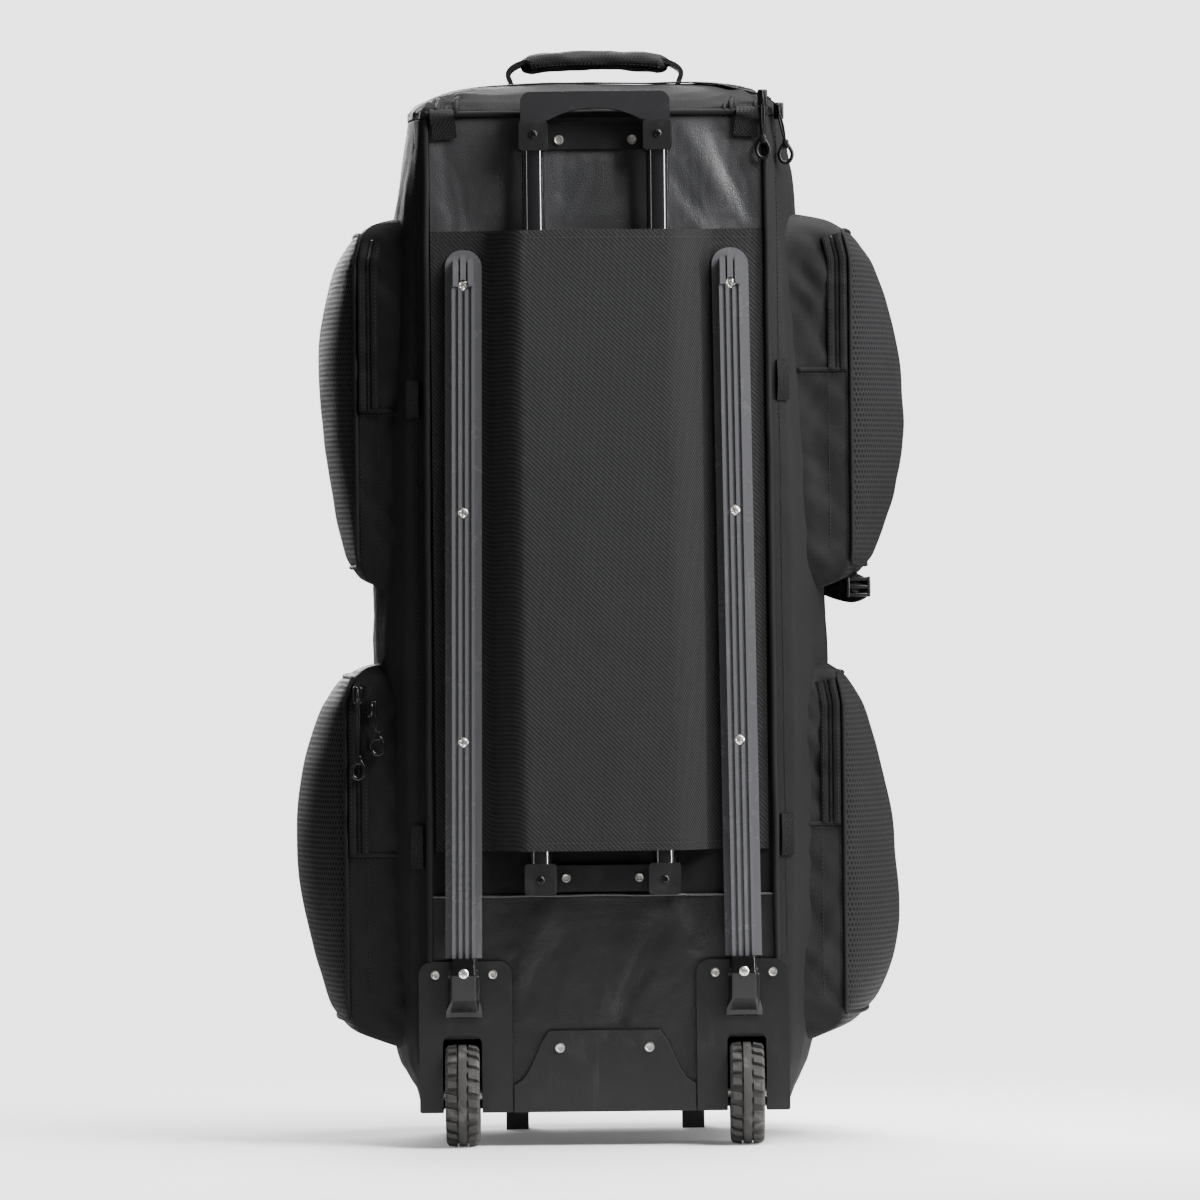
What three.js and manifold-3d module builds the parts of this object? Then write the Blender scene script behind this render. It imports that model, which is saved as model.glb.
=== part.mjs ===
// Cricket kit bag on wheels, standing upright on its two wheels and two feet.
// Millimetres, +Z up, the wheeled back facing -Y, the floor at z = 0.

import * as THREE from 'three';
import Module from 'manifold-3d';
import { mergeVertices } from 'three/addons/utils/BufferGeometryUtils.js';

const wasm = await Module();
wasm.setup();

// Clearances and cloth thicknesses
const gap = 0.3;
const bodyWall = 2.5;
const pocketWall = 2;
const panelThickness = 1.5;
const sleeveWall = 2.5;
const webbing = 1.6;

// Sewn body
const bodyBase = 30;
const bodyHeight = 867;
const bodyHalfWidth = 203;
const bodyDepth = 340;
const backCornerDepth = 85;
const frontCornerWidth = 62;
const frontCornerDepth = 70;
const frontCrown = 12;
const sideBulge = 4;
const foldReach = 5;
const lidRise = 34;
const gatherDepth = 2.5;

// Covered piping round the back panel
const pipingRadius = 3;
const pipingHalfTop = 148;
const pipingHalfBottom = 152;

// Wheels and their housings
const wheelRadius = 45;
const wheelHalfWidth = 15;
const wheelProud = 38;
const wheelX = 124;
const hubRadius = 30;
const hubHalfWidth = 12;
const axleRadius = 4;
const lugDepth = 2.6;
const lugCount = 16;
const wheelClearance = 4;
const wheelSideClearance = 2;
const housingX = 121;
const housingWidth = 81;
const housingHeight = 132;
const housingThickness = 3.5;
const housingWall = 3;
const housingCorner = 12;
const windowHeight = 67;
const windowSide = 1;
const windowCorner = 4;
const wellBehind = 60;
const belowFloor = 10;
const farOff = 400;

// Kick plate between the housings
const kickWidth = 158;
const kickTopWidth = 96;
const kickHeight = 71;
const kickShoulder = 24;
const kickThickness = 4;

// Standing feet
const footX = 79;
const footWidth = 20;
const footLength = 34;
const footSetback = 250;

// Trolley
const tubeX = 54;
const tubeRadius = 10;
const tubeWall = 1.2;
const tubeStandoff = 18;
const innerTubeRadius = 7.8;
const innerTubeLength = 600;
const gripWidth = 130;
const gripDepth = 18;
const gripTop = 21;
const gripArch = 10;
const gripCorner = 9;
const gripCrown = 4;
const bracketPlate = 3;
const collarDepth = 31;
const upperBracketDrop = 30;
const upperBracketHeight = 26;
const upperCollarWidth = 25;
const lowerBracketLow = 190;
const lowerBracketHeight = 27;
const lowerCollarWidth = 28;

// Woven sleeve over the tubes
const sleeveLow = 228;
const sleeveBelowTop = 99;
const sleeveFlatHalf = 66;
const sleeveRampHalf = 97;
const sleeveBendWidth = 8;
const sleeveBendDepth = 4;

// Skid rails and the moulded ends below them
const railTopX = 116;
const railBottomX = 122;
const railWidth = 32;
const railLow = 135;
const railHigh = 752;
const railBase = 3;
const railStripWidth = 20;
const railStripHeight = 12;
const railGrooveDepth = 2;
const railGrooves = 3;
const fingerLength = 22;
const fingerWidth = 5;
const railTopMargin = 8;
const railFootHeight = 52;
const railFootWidth = 27;
const railFootProud = 17;
const screwRadius = 4.6;
const screwHeight = 2.4;

// Carry handle
const handleY = -10;
const handleFootX = 70;
const handleRise = 25;
const strapWidth = 38;
const cornerTabWidth = 21;
const cornerTabHeight = 18;
const sideTabWidth = 11;
const strapThickness = 2.5;
const strapSunk = 2;
const wrapLength = 136;
const wrapDepth = 46;
const wrapThickness = 16;

// Pockets on the sides
const pocketReach = 69;
const pocketRoot = 38;
const pocketBackInset = 16;
const pocketSeamInset = 24;
const pocketFrontInset = 60;
const pocketCorner = 34;
const gussetWrinkle = 2.2;
const rootInside = 20;
const gussetMiddle = 0.55;
const cornerRound = 0.8;
const frontGussetFlare = 6;
const zipThickness = 1.3;
const pocketZipWidth = 12;
const pocketZipInset = 5;
const mainZipWidth = 26;
const pullRingRadius = 6.5;
const pullRingWire = 1.8;
const pullRingStretch = 1.25;
const sliderWidth = 9;
const sliderLength = 16;
const sliderHeight = 6;

// Places worked out from the sizes above
const bodyTop = bodyBase + bodyHeight;
const sleeveHigh = bodyHeight - sleeveBelowTop;
const backY = wheelProud - (bodyDepth + wheelProud) / 2;
const frontY = backY + bodyDepth;
const panelY = backY - gap - panelThickness;
const plateY = panelY - gap;
const axleY = backY - wheelProud + wheelRadius;
const tubeY = backY - tubeStandoff;
const sleeveProud = tubeStandoff + tubeRadius + gap + sleeveWall;
const railY = backY - gap - sleeveWall - gap;
const lidBase = bodyTop + gap;
const crownZ = lidBase + lidRise;
const pipingTopZ = bodyTop + pipingRadius;

// Sections of the sewn body from its base up, as shares of its height, half width and depth
const bodyRows = [
  { up: 0, width: 0.79, reach: 0.87 },
  { up: 0.021, width: 0.815, reach: 0.925 },
  { up: 0.045, width: 0.872, reach: 0.955 },
  { up: 0.08, width: 0.921, reach: 0.975 },
  { up: 0.16, width: 0.96, reach: 0.99 },
  { up: 0.31, width: 0.985, reach: 1 },
  { up: 0.5, width: 1, reach: 0.985 },
  { up: 0.7, width: 0.965, reach: 0.995 },
  { up: 0.894, width: 0.877, reach: 0.955 },
  { up: 1, width: 0.815, reach: 0.9 },
];

// Creases of the cloth: around runs from the middle of the back to the middle of the front
const bodyFolds = [
  { side: -1, around: 0.33, up: 0.46, spread: 0.07, tall: 0.03, out: -0.8 },
  { side: 1, around: 0.33, up: 0.47, spread: 0.07, tall: 0.025, out: -0.7 },
  { side: -1, around: 0.5, up: 0.51, spread: 0.12, tall: 0.04, out: -1 },
  { side: 1, around: 0.5, up: 0.49, spread: 0.12, tall: 0.04, out: -1 },
  { side: -1, around: 0.3, up: 0.96, spread: 0.06, tall: 0.05, out: -0.6 },
  { side: 1, around: 0.32, up: 0.85, spread: 0.06, tall: 0.05, out: -0.7 },
  { side: -1, around: 0.45, up: 0.05, spread: 0.1, tall: 0.04, out: 0.6 },
  { side: 1, around: 0.4, up: 0.06, spread: 0.08, tall: 0.05, out: 0.5 },
  { side: -1, around: 0.9, up: 0.35, spread: 0.08, tall: 0.06, out: -0.9 },
  { side: 1, around: 0.88, up: 0.62, spread: 0.09, tall: 0.05, out: -0.9 },
];

// Crowned lid, as shares of its rise and how far its section has drawn in
const lidRows = [
  { rise: 0, inset: 0 },
  { rise: 0.2, inset: 0.006 },
  { rise: 0.42, inset: 0.05 },
  { rise: 0.64, inset: 0.14 },
  { rise: 0.82, inset: 0.28 },
  { rise: 0.93, inset: 0.46 },
  { rise: 1, inset: 0.78 },
];

// Pockets: low, high, peak and zip are shares of a height, seam and reach of the pocket reach
const pocketTable = [
  { name: 'upper_left', side: -1, low: 0.509, high: 0.903, seam: 0.12, reach: 0.65, peak: 0.62, zip: 0.51 },
  { name: 'upper_right', side: 1, low: 0.509, high: 0.903, seam: 0.26, reach: 1, peak: 0.48, zip: 0.41 },
  { name: 'lower_left', side: -1, low: 0.06, high: 0.46, seam: 0.3, reach: 1, peak: 0.55, zip: 0.5 },
  { name: 'lower_right', side: 1, low: 0.06, high: 0.46, seam: 0.12, reach: 0.88, peak: 0.33, zip: 0.43 },
];

// How a pocket's seam draws in toward its two ends, and where its gusset wrinkles
const pocketRows = [
  { up: 0, seam: 0.2, wrinkle: 0 },
  { up: 0.045, seam: 0.86, wrinkle: 0.5 },
  { up: 0.1, seam: 1, wrinkle: -0.6 },
  { up: 0.2, seam: 1, wrinkle: 1 },
  { up: 0.34, seam: 1, wrinkle: -0.8 },
  { up: 0.52, seam: 1, wrinkle: 0 },
  { up: 0.7, seam: 1, wrinkle: 0 },
  { up: 0.88, seam: 1, wrinkle: 0 },
  { up: 0.95, seam: 0.9, wrinkle: 0 },
  { up: 0.985, seam: 0.66, wrinkle: 0 },
  { up: 1, seam: 0.2, wrinkle: 0 },
];

// Sleeve over the tubes from its lower hem up: how far the tent stands, as a share
const sleeveRows = [
  { up: 0, tent: 1 },
  { up: 0.3, tent: 1.02 },
  { up: 0.62, tent: 1.04 },
  { up: 1, tent: 1 },
];

// Webbing tabs sewn into the side seams: shares of the body's height
const sideTabs = [
  { name: 'upper_left', side: -1, low: 0.699, high: 0.737 },
  { name: 'upper_right', side: 1, low: 0.714, high: 0.754 },
  { name: 'lower_left', side: -1, low: 0.246, high: 0.289 },
  { name: 'lower_right', side: 1, low: 0.256, high: 0.298 },
];

// Screws along each rail, as shares of the rail's length
const railScrews = [
  { name: 'top', up: 0.95 },
  { name: 'middle', up: 0.629 },
  { name: 'bottom', up: 0.305 },
];

// Finishes
const finishes = {
  wovenNylon: { color: 0x18181a, roughness: 0.85, metalness: 0 },
  polyester: { color: 0x141416, roughness: 0.9, metalness: 0 },
  dobby: { color: 0x1a1a1c, roughness: 0.8, metalness: 0 },
  vinyl: { color: 0x1b1b1d, roughness: 0.45, metalness: 0 },
  webbing: { color: 0x111112, roughness: 0.9, metalness: 0 },
  moulded: { color: 0x161618, roughness: 0.5, metalness: 0 },
  tubeBlack: { color: 0x0a0a0b, roughness: 0.15, metalness: 0.6 },
  tyreRubber: { color: 0x2b2a29, roughness: 0.9, metalness: 0 },
  steel: { color: 0x9a9792, roughness: 0.3, metalness: 1 },
  zipTape: { color: 0x101011, roughness: 0.7, metalness: 0 },
};

const bag = new THREE.Group();

// Adds one named piece to the bag
function addPiece(name, solid, finish) {
  const mesh = new THREE.Mesh(toGeometry(solid), new THREE.MeshStandardMaterial(finish));
  mesh.name = name;
  bag.add(mesh);
}

// Closed three.js geometry to a solid that can be joined and cut
function toSolid(geometry) {
  const bare = geometry.clone();
  bare.deleteAttribute('normal');
  bare.deleteAttribute('uv');
  const merged = mergeVertices(bare);
  const vertProperties = new Float32Array(merged.attributes.position.array);
  const triVerts = new Uint32Array(merged.index.array);
  return new wasm.Manifold(new wasm.Mesh({ numProp: 3, vertProperties, triVerts }));
}

// Solid back to a three.js geometry
function toGeometry(solid) {
  const mesh = solid.getMesh();
  const geometry = new THREE.BufferGeometry();
  geometry.setAttribute('position', new THREE.BufferAttribute(new Float32Array(mesh.vertProperties), 3));
  geometry.setIndex(new THREE.BufferAttribute(new Uint32Array(mesh.triVerts), 1));
  geometry.computeVertexNormals();
  return geometry;
}

function join(...solids) {
  return solids.reduce((whole, next) => whole.add(next));
}

function lerp(from, to, share) {
  return from + (to - from) * share;
}

function bump(distance, spread) {
  return Math.exp(-((distance / spread) ** 2));
}

// Box between two corners
function box(low, high) {
  const size = high.map((value, axis) => value - low[axis]);
  const geometry = new THREE.BoxGeometry(...size);
  geometry.translate(...low.map((value, axis) => value + size[axis] / 2));
  return toSolid(geometry);
}

// Cylinder along one axis: 'x', 'y' or 'z'
function cylinder(radius, length, axis, centre, sides = 24) {
  const geometry = new THREE.CylinderGeometry(radius, radius, length, sides);
  if (axis === 'x') geometry.rotateZ(Math.PI / 2);
  if (axis === 'z') geometry.rotateX(Math.PI / 2);
  geometry.translate(...centre);
  return toSolid(geometry);
}

// Outline in x and z, made thick along y from its front face at faceY toward the back
function plate(shape, faceY, thickness, curveSegments = 6) {
  const geometry = new THREE.ExtrudeGeometry(shape, { depth: thickness, bevelEnabled: false, curveSegments });
  geometry.rotateX(Math.PI / 2);
  geometry.translate(0, faceY + thickness, 0);
  return toSolid(geometry);
}

// Rounded rectangle outline
function roundedOutline(left, right, low, high, radiusLow, radiusHigh) {
  const shape = new THREE.Shape();
  shape.moveTo(left + radiusLow, low);
  shape.lineTo(right - radiusLow, low);
  if (radiusLow > 0) shape.absarc(right - radiusLow, low + radiusLow, radiusLow, -Math.PI / 2, 0);
  shape.lineTo(right, high - radiusHigh);
  if (radiusHigh > 0) shape.absarc(right - radiusHigh, high - radiusHigh, radiusHigh, 0, Math.PI / 2);
  shape.lineTo(left + radiusHigh, high);
  if (radiusHigh > 0) shape.absarc(left + radiusHigh, high - radiusHigh, radiusHigh, Math.PI / 2, Math.PI);
  shape.lineTo(left, low + radiusLow);
  if (radiusLow > 0) shape.absarc(left + radiusLow, low + radiusLow, radiusLow, Math.PI, Math.PI * 1.5);
  return shape;
}

// Skin through rings of equal length, closed at both ends
function loft(rings) {
  const positions = rings.flat(2);
  const count = rings[0].length;
  const index = [];
  for (let row = 0; row + 1 < rings.length; row += 1) {
    for (let step = 0; step < count; step += 1) {
      const next = (step + 1) % count;
      const a = row * count + step;
      const b = row * count + next;
      const c = (row + 1) * count + next;
      const d = (row + 1) * count + step;
      index.push(a, b, c, a, c, d);
    }
  }
  const flat = rings[0].map(([x, y]) => new THREE.Vector2(x, y));
  const lowCap = THREE.ShapeUtils.triangulateShape(flat, []);
  lowCap.forEach(([a, b, c]) => index.push(a, c, b));
  const flatTop = rings.at(-1).map(([x, y]) => new THREE.Vector2(x, y));
  const start = (rings.length - 1) * count;
  const highCap = THREE.ShapeUtils.triangulateShape(flatTop, []);
  highCap.forEach(([a, b, c]) => index.push(start + a, start + b, start + c));
  const geometry = new THREE.BufferGeometry();
  geometry.setAttribute('position', new THREE.Float32BufferAttribute(positions, 3));
  geometry.setIndex(index);
  return toSolid(geometry);
}

// Section turned through a whole circle about the x axis, where a section may change with the step
function turnAboutX(sectionAt, steps, centreY, centreZ) {
  const positions = [];
  const index = [];
  for (let step = 0; step < steps; step += 1) {
    const angle = (2 * Math.PI * step) / steps;
    const section = sectionAt(step);
    const count = section.length;
    const next = (step + 1) % steps;
    section.forEach(([x, radius], point) => {
      positions.push(x, centreY + radius * Math.cos(angle), centreZ + radius * Math.sin(angle));
      const after = (point + 1) % count;
      const a = step * count + point;
      const b = step * count + after;
      const c = next * count + after;
      const d = next * count + point;
      index.push(a, b, c, a, c, d);
    });
  }
  const geometry = new THREE.BufferGeometry();
  geometry.setAttribute('position', new THREE.Float32BufferAttribute(positions, 3));
  geometry.setIndex(index);
  return toSolid(geometry);
}

// Round bar along a smooth path
function bar(points, radius, steps, sides = 8) {
  const path = new THREE.CatmullRomCurve3(points.map((point) => new THREE.Vector3(...point)));
  const shape = new THREE.Shape();
  shape.absarc(0, 0, radius, 0, 2 * Math.PI);
  const settings = { extrudePath: path, steps, curveSegments: sides / 2, bevelEnabled: false };
  return toSolid(new THREE.ExtrudeGeometry(shape, settings));
}

// Ring points moved outward along their own normals
function moveOut(points, offsetAt) {
  return points.map(([x, y], i) => {
    const [px, py] = points.at(i - 1);
    const [nx, ny] = points[(i + 1) % points.length];
    const length = Math.hypot(nx - px, ny - py);
    const offset = offsetAt(i);
    return [x + ((ny - py) / length) * offset, y - ((nx - px) / length) * offset];
  });
}

// One horizontal section of the sewn body, from the middle of the back round to the right
function bodySection(row, offset, cornerSteps) {
  const halfWidth = row.width * bodyHalfWidth;
  const flatHalf = Math.min(lerp(pipingHalfBottom, pipingHalfTop, row.up), halfWidth - gap);
  const front = backY + row.reach * bodyDepth - frontCrown;
  const frontHalf = halfWidth - frontCornerWidth;
  const half = [];
  const flatSteps = 3;
  const sideSteps = 2;
  const frontSteps = 4;
  for (let i = 0; i < flatSteps; i += 1) half.push([(flatHalf * i) / flatSteps, backY]);
  for (let i = 0; i < cornerSteps; i += 1) {
    const turn = ((Math.PI / 2) * i) / cornerSteps;
    const x = flatHalf + (halfWidth - flatHalf) * Math.sin(turn);
    half.push([x, backY + backCornerDepth * (1 - Math.cos(turn))]);
  }
  for (let i = 0; i < sideSteps; i += 1) {
    const share = i / sideSteps;
    const y = lerp(backY + backCornerDepth, front - frontCornerDepth, share);
    half.push([halfWidth + sideBulge * row.up * (1 - row.up) * Math.sin(Math.PI * share), y]);
  }
  for (let i = 0; i < frontSteps; i += 1) {
    const turn = ((Math.PI / 2) * i) / frontSteps;
    const x = frontHalf + frontCornerWidth * Math.cos(turn);
    half.push([x, front - frontCornerDepth * (1 - Math.sin(turn))]);
  }
  for (let i = 0; i <= flatSteps; i += 1) {
    const share = 1 - i / flatSteps;
    half.push([frontHalf * share, front + frontCrown * (1 - share ** 2)]);
  }
  const last = half.length - 1;
  const left = half.slice(1, last).reverse().map(([x, y]) => [-x, y]);
  const whole = [...half, ...left];
  const offsetAt = (i) => {
    const side = i <= last ? 1 : -1;
    const around = (side > 0 ? i : whole.length - i) / last;
    return offset + foldOut(side, around, row.up);
  };
  return moveOut(whole, offsetAt);
}

// Half width of the back corner at one height and at one depth in front of the back face
function cornerX(up, deep) {
  const above = Math.max(1, bodyRows.findIndex((row) => row.up >= up));
  const [low, high] = [bodyRows[above - 1], bodyRows[above]];
  const width = lerp(low.width, high.width, (up - low.up) / (high.up - low.up)) * bodyHalfWidth;
  const flatHalf = lerp(pipingHalfBottom, pipingHalfTop, up);
  const turn = Math.acos(1 - deep / backCornerDepth);
  return flatHalf + (width - flatHalf) * Math.sin(turn);
}

// How far the cloth stands in or out at one place
function foldOut(side, around, up) {
  return bodyFolds
    .filter((fold) => fold.side === side)
    .reduce((sum, fold) => {
      const share = bump(around - fold.around, fold.spread) * bump(up - fold.up, fold.tall);
      return sum + foldReach * fold.out * share;
    }, 0);
}

// Filled body, grown by an offset on its sides and base and lengthened at its top
function bodySolid(offset, extraTop = 0) {
  const cornerSteps = 4;
  const rings = bodyRows.map((row, i) => {
    const z = i === 0 ? bodyBase - offset : bodyBase + row.up * bodyHeight;
    return bodySection(row, offset, cornerSteps).map(([x, y]) => [x, y, z]);
  });
  if (extraTop > 0) {
    rings.push(rings.at(-1).map(([x, y]) => [x, y, bodyTop + extraTop]));
  }
  return loft(rings);
}

// Filled lid, its sewn edge gathered at the back corners
function lidSolid(offset) {
  const cornerSteps = 6;
  const middleY = (backY + frontY) / 2;
  const topRow = bodyRows.at(-1);
  const edge = bodySection(topRow, offset, cornerSteps);
  const rings = lidRows.map((row) => {
    const ripple = gatherDepth * bump(row.rise - 0.3, 0.25);
    const gathered = moveOut(edge, (i) => {
      const across = Math.abs(edge[i][0]) / pipingHalfTop;
      const atBack = edge[i][1] < middleY ? 1 : 0;
      return atBack * ripple * bump(across - 1, 0.12) * (i % 2 === 0 ? 1 : -1);
    });
    const share = 1 - row.inset;
    const z = lidBase + row.rise * (lidRise + offset);
    return gathered.map(([x, y]) => [x * share, middleY + (y - middleY) * share, z]);
  });
  if (offset < 0) rings.unshift(rings[0].map(([x, y]) => [x, y, lidBase - bodyWall]));
  return loft(rings);
}

// Thin piece that follows the body within a box
function bodyPatch(low, high, thickness) {
  const skin = bodySolid(gap + thickness).subtract(bodySolid(gap));
  return skin.intersect(box(low, high));
}

function makeBody() {
  const outside = bodySolid(0);
  const inside = bodySolid(-bodyWall, bodyWall);
  const wells = join(...[-1, 1].map((side) => housingBox(side, gap)));
  addPiece('main_shell', outside.subtract(inside).subtract(wells), finishes.polyester);
  addPiece('top_lid', lidSolid(0).subtract(lidSolid(-bodyWall)), finishes.polyester);
}

// Flat panels of the back, the lower one cut out round the wheel wells
function makeBackPanels() {
  const upperHalf = pipingHalfTop - pipingRadius - gap;
  const upperLow = bodyBase + sleeveHigh + gap;
  const upper = box([-upperHalf, panelY, upperLow], [upperHalf, backY - gap, bodyTop]);
  addPiece('back_panel_upper', upper, finishes.vinyl);
  const lowerHalf = pipingHalfBottom - pipingRadius - gap;
  const lowerHigh = bodyBase + lowerBracketLow - gap;
  const wells = join(...[-1, 1].map((side) => housingBox(side, gap)));
  const lower = box([-lowerHalf, panelY, bodyBase], [lowerHalf, backY - gap, lowerHigh]);
  addPiece('back_panel_lower', lower.subtract(wells), finishes.vinyl);
}

function makePiping() {
  const y = backY - gap - pipingRadius;
  const lowZ = bodyBase + housingHeight + gap;
  const halfAt = (z) => lerp(pipingHalfBottom, pipingHalfTop, (z - bodyBase) / bodyHeight);
  const highZ = bodyTop - gap;
  for (const [name, side] of [['piping_left', -1], ['piping_right', 1]]) {
    const path = [0, 0.5, 1].map((share) => {
      const z = lerp(lowZ, highZ, share);
      return [side * halfAt(z), y, z];
    });
    addPiece(name, bar(path, pipingRadius, 4), finishes.polyester);
  }
  const top = [-1, 0, 1].map((side) => [side * pipingHalfTop, y, pipingTopZ + gap]);
  addPiece('piping_top', bar(top, pipingRadius, 4), finishes.polyester);
}

// Woven sleeve that stands like a tent over the two tubes
function makeSleeve() {
  const edge = pipingHalfTop - pipingRadius - gap;
  const face = backY - gap;
  const rings = sleeveRows.map((row) => {
    const z = bodyBase + lerp(sleeveLow, sleeveHigh, row.up);
    const peak = face - sleeveProud * row.tent;
    const outer = [
      [-edge, face - sleeveWall],
      [-sleeveRampHalf, face - sleeveWall],
      [-sleeveFlatHalf - sleeveBendWidth, peak + sleeveBendDepth],
      [-sleeveFlatHalf, peak],
      [0, peak],
      [sleeveFlatHalf, peak],
      [sleeveFlatHalf + sleeveBendWidth, peak + sleeveBendDepth],
      [sleeveRampHalf, face - sleeveWall],
      [edge, face - sleeveWall],
    ];
    const under = outer.map(([x, y]) => [x, y + sleeveWall]).reverse();
    return [...outer, ...under].map(([x, y]) => [x, y, z]);
  });
  addPiece('trolley_sleeve', loft(rings), finishes.wovenNylon);
}

// Bracket with two collars round the tubes and a plate between them
function bracket(low, height, collarWidth) {
  const backFace = panelY - gap;
  const collars = [-1, 1].map((side) => {
    const x = side * tubeX;
    const outline = roundedOutline(x - collarWidth / 2, x + collarWidth / 2, low, low + height, 3, 3);
    return plate(outline, backFace - collarDepth, collarDepth, 2);
  });
  const inset = 2;
  const plateLow = [-tubeX, backFace - bracketPlate, low + inset];
  const joined = join(...collars, box(plateLow, [tubeX, backFace, low + height - inset]));
  const bores = [-1, 1].map((side) => {
    const centre = [side * tubeX, tubeY, low + height / 2];
    return cylinder(tubeRadius + gap, height + 2, 'z', centre, 12);
  });
  return joined.subtract(join(...bores));
}

function tube(x, outerRadius, innerRadius, low, high) {
  const middle = [x, tubeY, (low + high) / 2];
  const outside = cylinder(outerRadius, high - low, 'z', middle, 12);
  return outside.subtract(cylinder(innerRadius, high - low + 2, 'z', middle, 12));
}

function makeTrolley() {
  const upperLow = bodyTop - upperBracketDrop;
  const upperHigh = upperLow + upperBracketHeight;
  const lowerLow = bodyBase + lowerBracketLow;
  addPiece('upper_bracket', bracket(upperLow, upperBracketHeight, upperCollarWidth), finishes.moulded);
  addPiece('lower_bracket', bracket(lowerLow, lowerBracketHeight, lowerCollarWidth), finishes.moulded);
  const tubeTop = upperHigh - gap;
  const gripLow = upperHigh + gap;
  const socketTop = gripLow + gripArch;
  const innerTop = socketTop - gap;
  for (const [name, side] of [['left', -1], ['right', 1]]) {
    const x = side * tubeX;
    const outer = tube(x, tubeRadius, tubeRadius - tubeWall, lowerLow + gap, tubeTop);
    addPiece(`outer_tube_${name}`, outer, finishes.tubeBlack);
    const innerLow = innerTop - innerTubeLength;
    const inner = tube(x, innerTubeRadius, innerTubeRadius - tubeWall, innerLow, innerTop);
    addPiece(`inner_tube_${name}`, inner, finishes.tubeBlack);
  }
  addPiece('trolley_grip', grip(gripLow, socketTop), finishes.moulded);
}

// Pull grip with two legs over the tubes and an arched underside
function grip(low, socketTop) {
  const half = gripWidth / 2;
  const legInner = tubeX - upperCollarWidth / 2;
  const high = low + gripTop + gripCrown;
  const shape = new THREE.Shape();
  shape.moveTo(-half, low);
  shape.lineTo(-legInner, low);
  shape.quadraticCurveTo(0, low + 2 * gripArch + 2, legInner, low);
  shape.lineTo(half, low);
  shape.lineTo(half, high - gripCorner);
  shape.absarc(half - gripCorner, high - gripCorner, gripCorner, 0, Math.PI / 2);
  shape.lineTo(-half + gripCorner, high);
  shape.absarc(-half + gripCorner, high - gripCorner, gripCorner, Math.PI / 2, Math.PI);
  const solid = plate(shape, tubeY - gripDepth / 2, gripDepth, 8);
  const sockets = [-1, 1].map((side) => {
    const centre = [side * tubeX, tubeY, (low - 2 + socketTop) / 2];
    return cylinder(innerTubeRadius + gap, socketTop - low + 2, 'z', centre, 12);
  });
  return solid.subtract(join(...sockets));
}

// Ribbed skid rail, leaning outward toward its foot
function rail(side) {
  const low = bodyBase + railLow;
  const high = bodyBase + railHigh;
  const half = railWidth / 2;
  const base = plate(roundedOutline(-half, half, low, high, 0, half - 1), railY - railBase, railBase, 6);
  const stripHalf = railStripWidth / 2;
  const face = railY - railStripHeight;
  const stripHigh = high - railTopMargin - fingerLength;
  const section = [[-stripHalf, railY - railBase / 2], [stripHalf, railY - railBase / 2]];
  const pitch = railStripWidth / (2 * railGrooves + 1);
  for (let i = 0; i <= railGrooves; i += 1) {
    const right = stripHalf - 2 * i * pitch;
    section.push([right, face], [right - pitch, face]);
    if (i < railGrooves) {
      section.push([right - pitch, face + railGrooveDepth], [right - 2 * pitch, face + railGrooveDepth]);
    }
  }
  section.reverse();
  const strip = loft([low, stripHigh].map((z) => section.map(([x, y]) => [x, y, z])));
  const fingers = [-1, 0, 1].map((place) => {
    const x = place * (fingerWidth + 1.5);
    const outline = roundedOutline(
      x - fingerWidth / 2,
      x + fingerWidth / 2,
      stripHigh - 2,
      stripHigh + (place === 0 ? 1.12 : 1) * fingerLength,
      0,
      fingerWidth / 2 - 0.1,
    );
    return plate(outline, face - 1.5, railStripHeight, 2);
  });
  const seats = railScrews.map((screw) => {
    const centre = [0, face, lerp(low, high, screw.up)];
    return cylinder(screwRadius + gap, 2 * screwHeight, 'y', centre, 8);
  });
  const upright = join(base, strip, ...fingers).subtract(join(...seats));
  return lean(upright, side);
}

// Leans a rail piece so that the pair splays outward toward the floor
function lean(solid, side) {
  const low = bodyBase + railLow;
  const high = bodyBase + railHigh;
  const slope = (railTopX - railBottomX) / (high - low);
  const matrix = new THREE.Matrix4().makeTranslation(side * (railBottomX - slope * low), 0, 0);
  matrix.multiply(new THREE.Matrix4().makeShear(0, 0, 0, 0, side * slope, 0));
  return toSolid(toGeometry(solid).applyMatrix4(matrix));
}

function makeRails() {
  const low = bodyBase + railLow;
  const high = bodyBase + railHigh;
  for (const [name, side] of [['left', -1], ['right', 1]]) {
    addPiece(`rail_${name}`, rail(side), finishes.moulded);
    addPiece(`rail_foot_${name}`, railFoot(side), finishes.moulded);
    for (const screw of railScrews) {
      const z = lerp(low, high, screw.up);
      const faceY = railY - railStripHeight + screwHeight - gap;
      const x = side * lerp(railBottomX, railTopX, screw.up);
      addPiece(`rail_screw_${name}_${screw.name}`, screwHead(x, faceY, z), finishes.steel);
    }
  }
}

// Low domed head facing the back
function screwHead(x, seatY, z) {
  const shoulder = screwHeight * 0.45;
  const crown = screwRadius * 0.6;
  const profile = [[0, 0], [screwRadius, 0], [screwRadius, shoulder], [crown, screwHeight], [0, screwHeight]];
  const geometry = new THREE.LatheGeometry(profile.map(([r, h]) => new THREE.Vector2(r, h)), 8);
  geometry.rotateX(Math.PI);
  geometry.translate(x, seatY, z);
  return toSolid(geometry);
}

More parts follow.
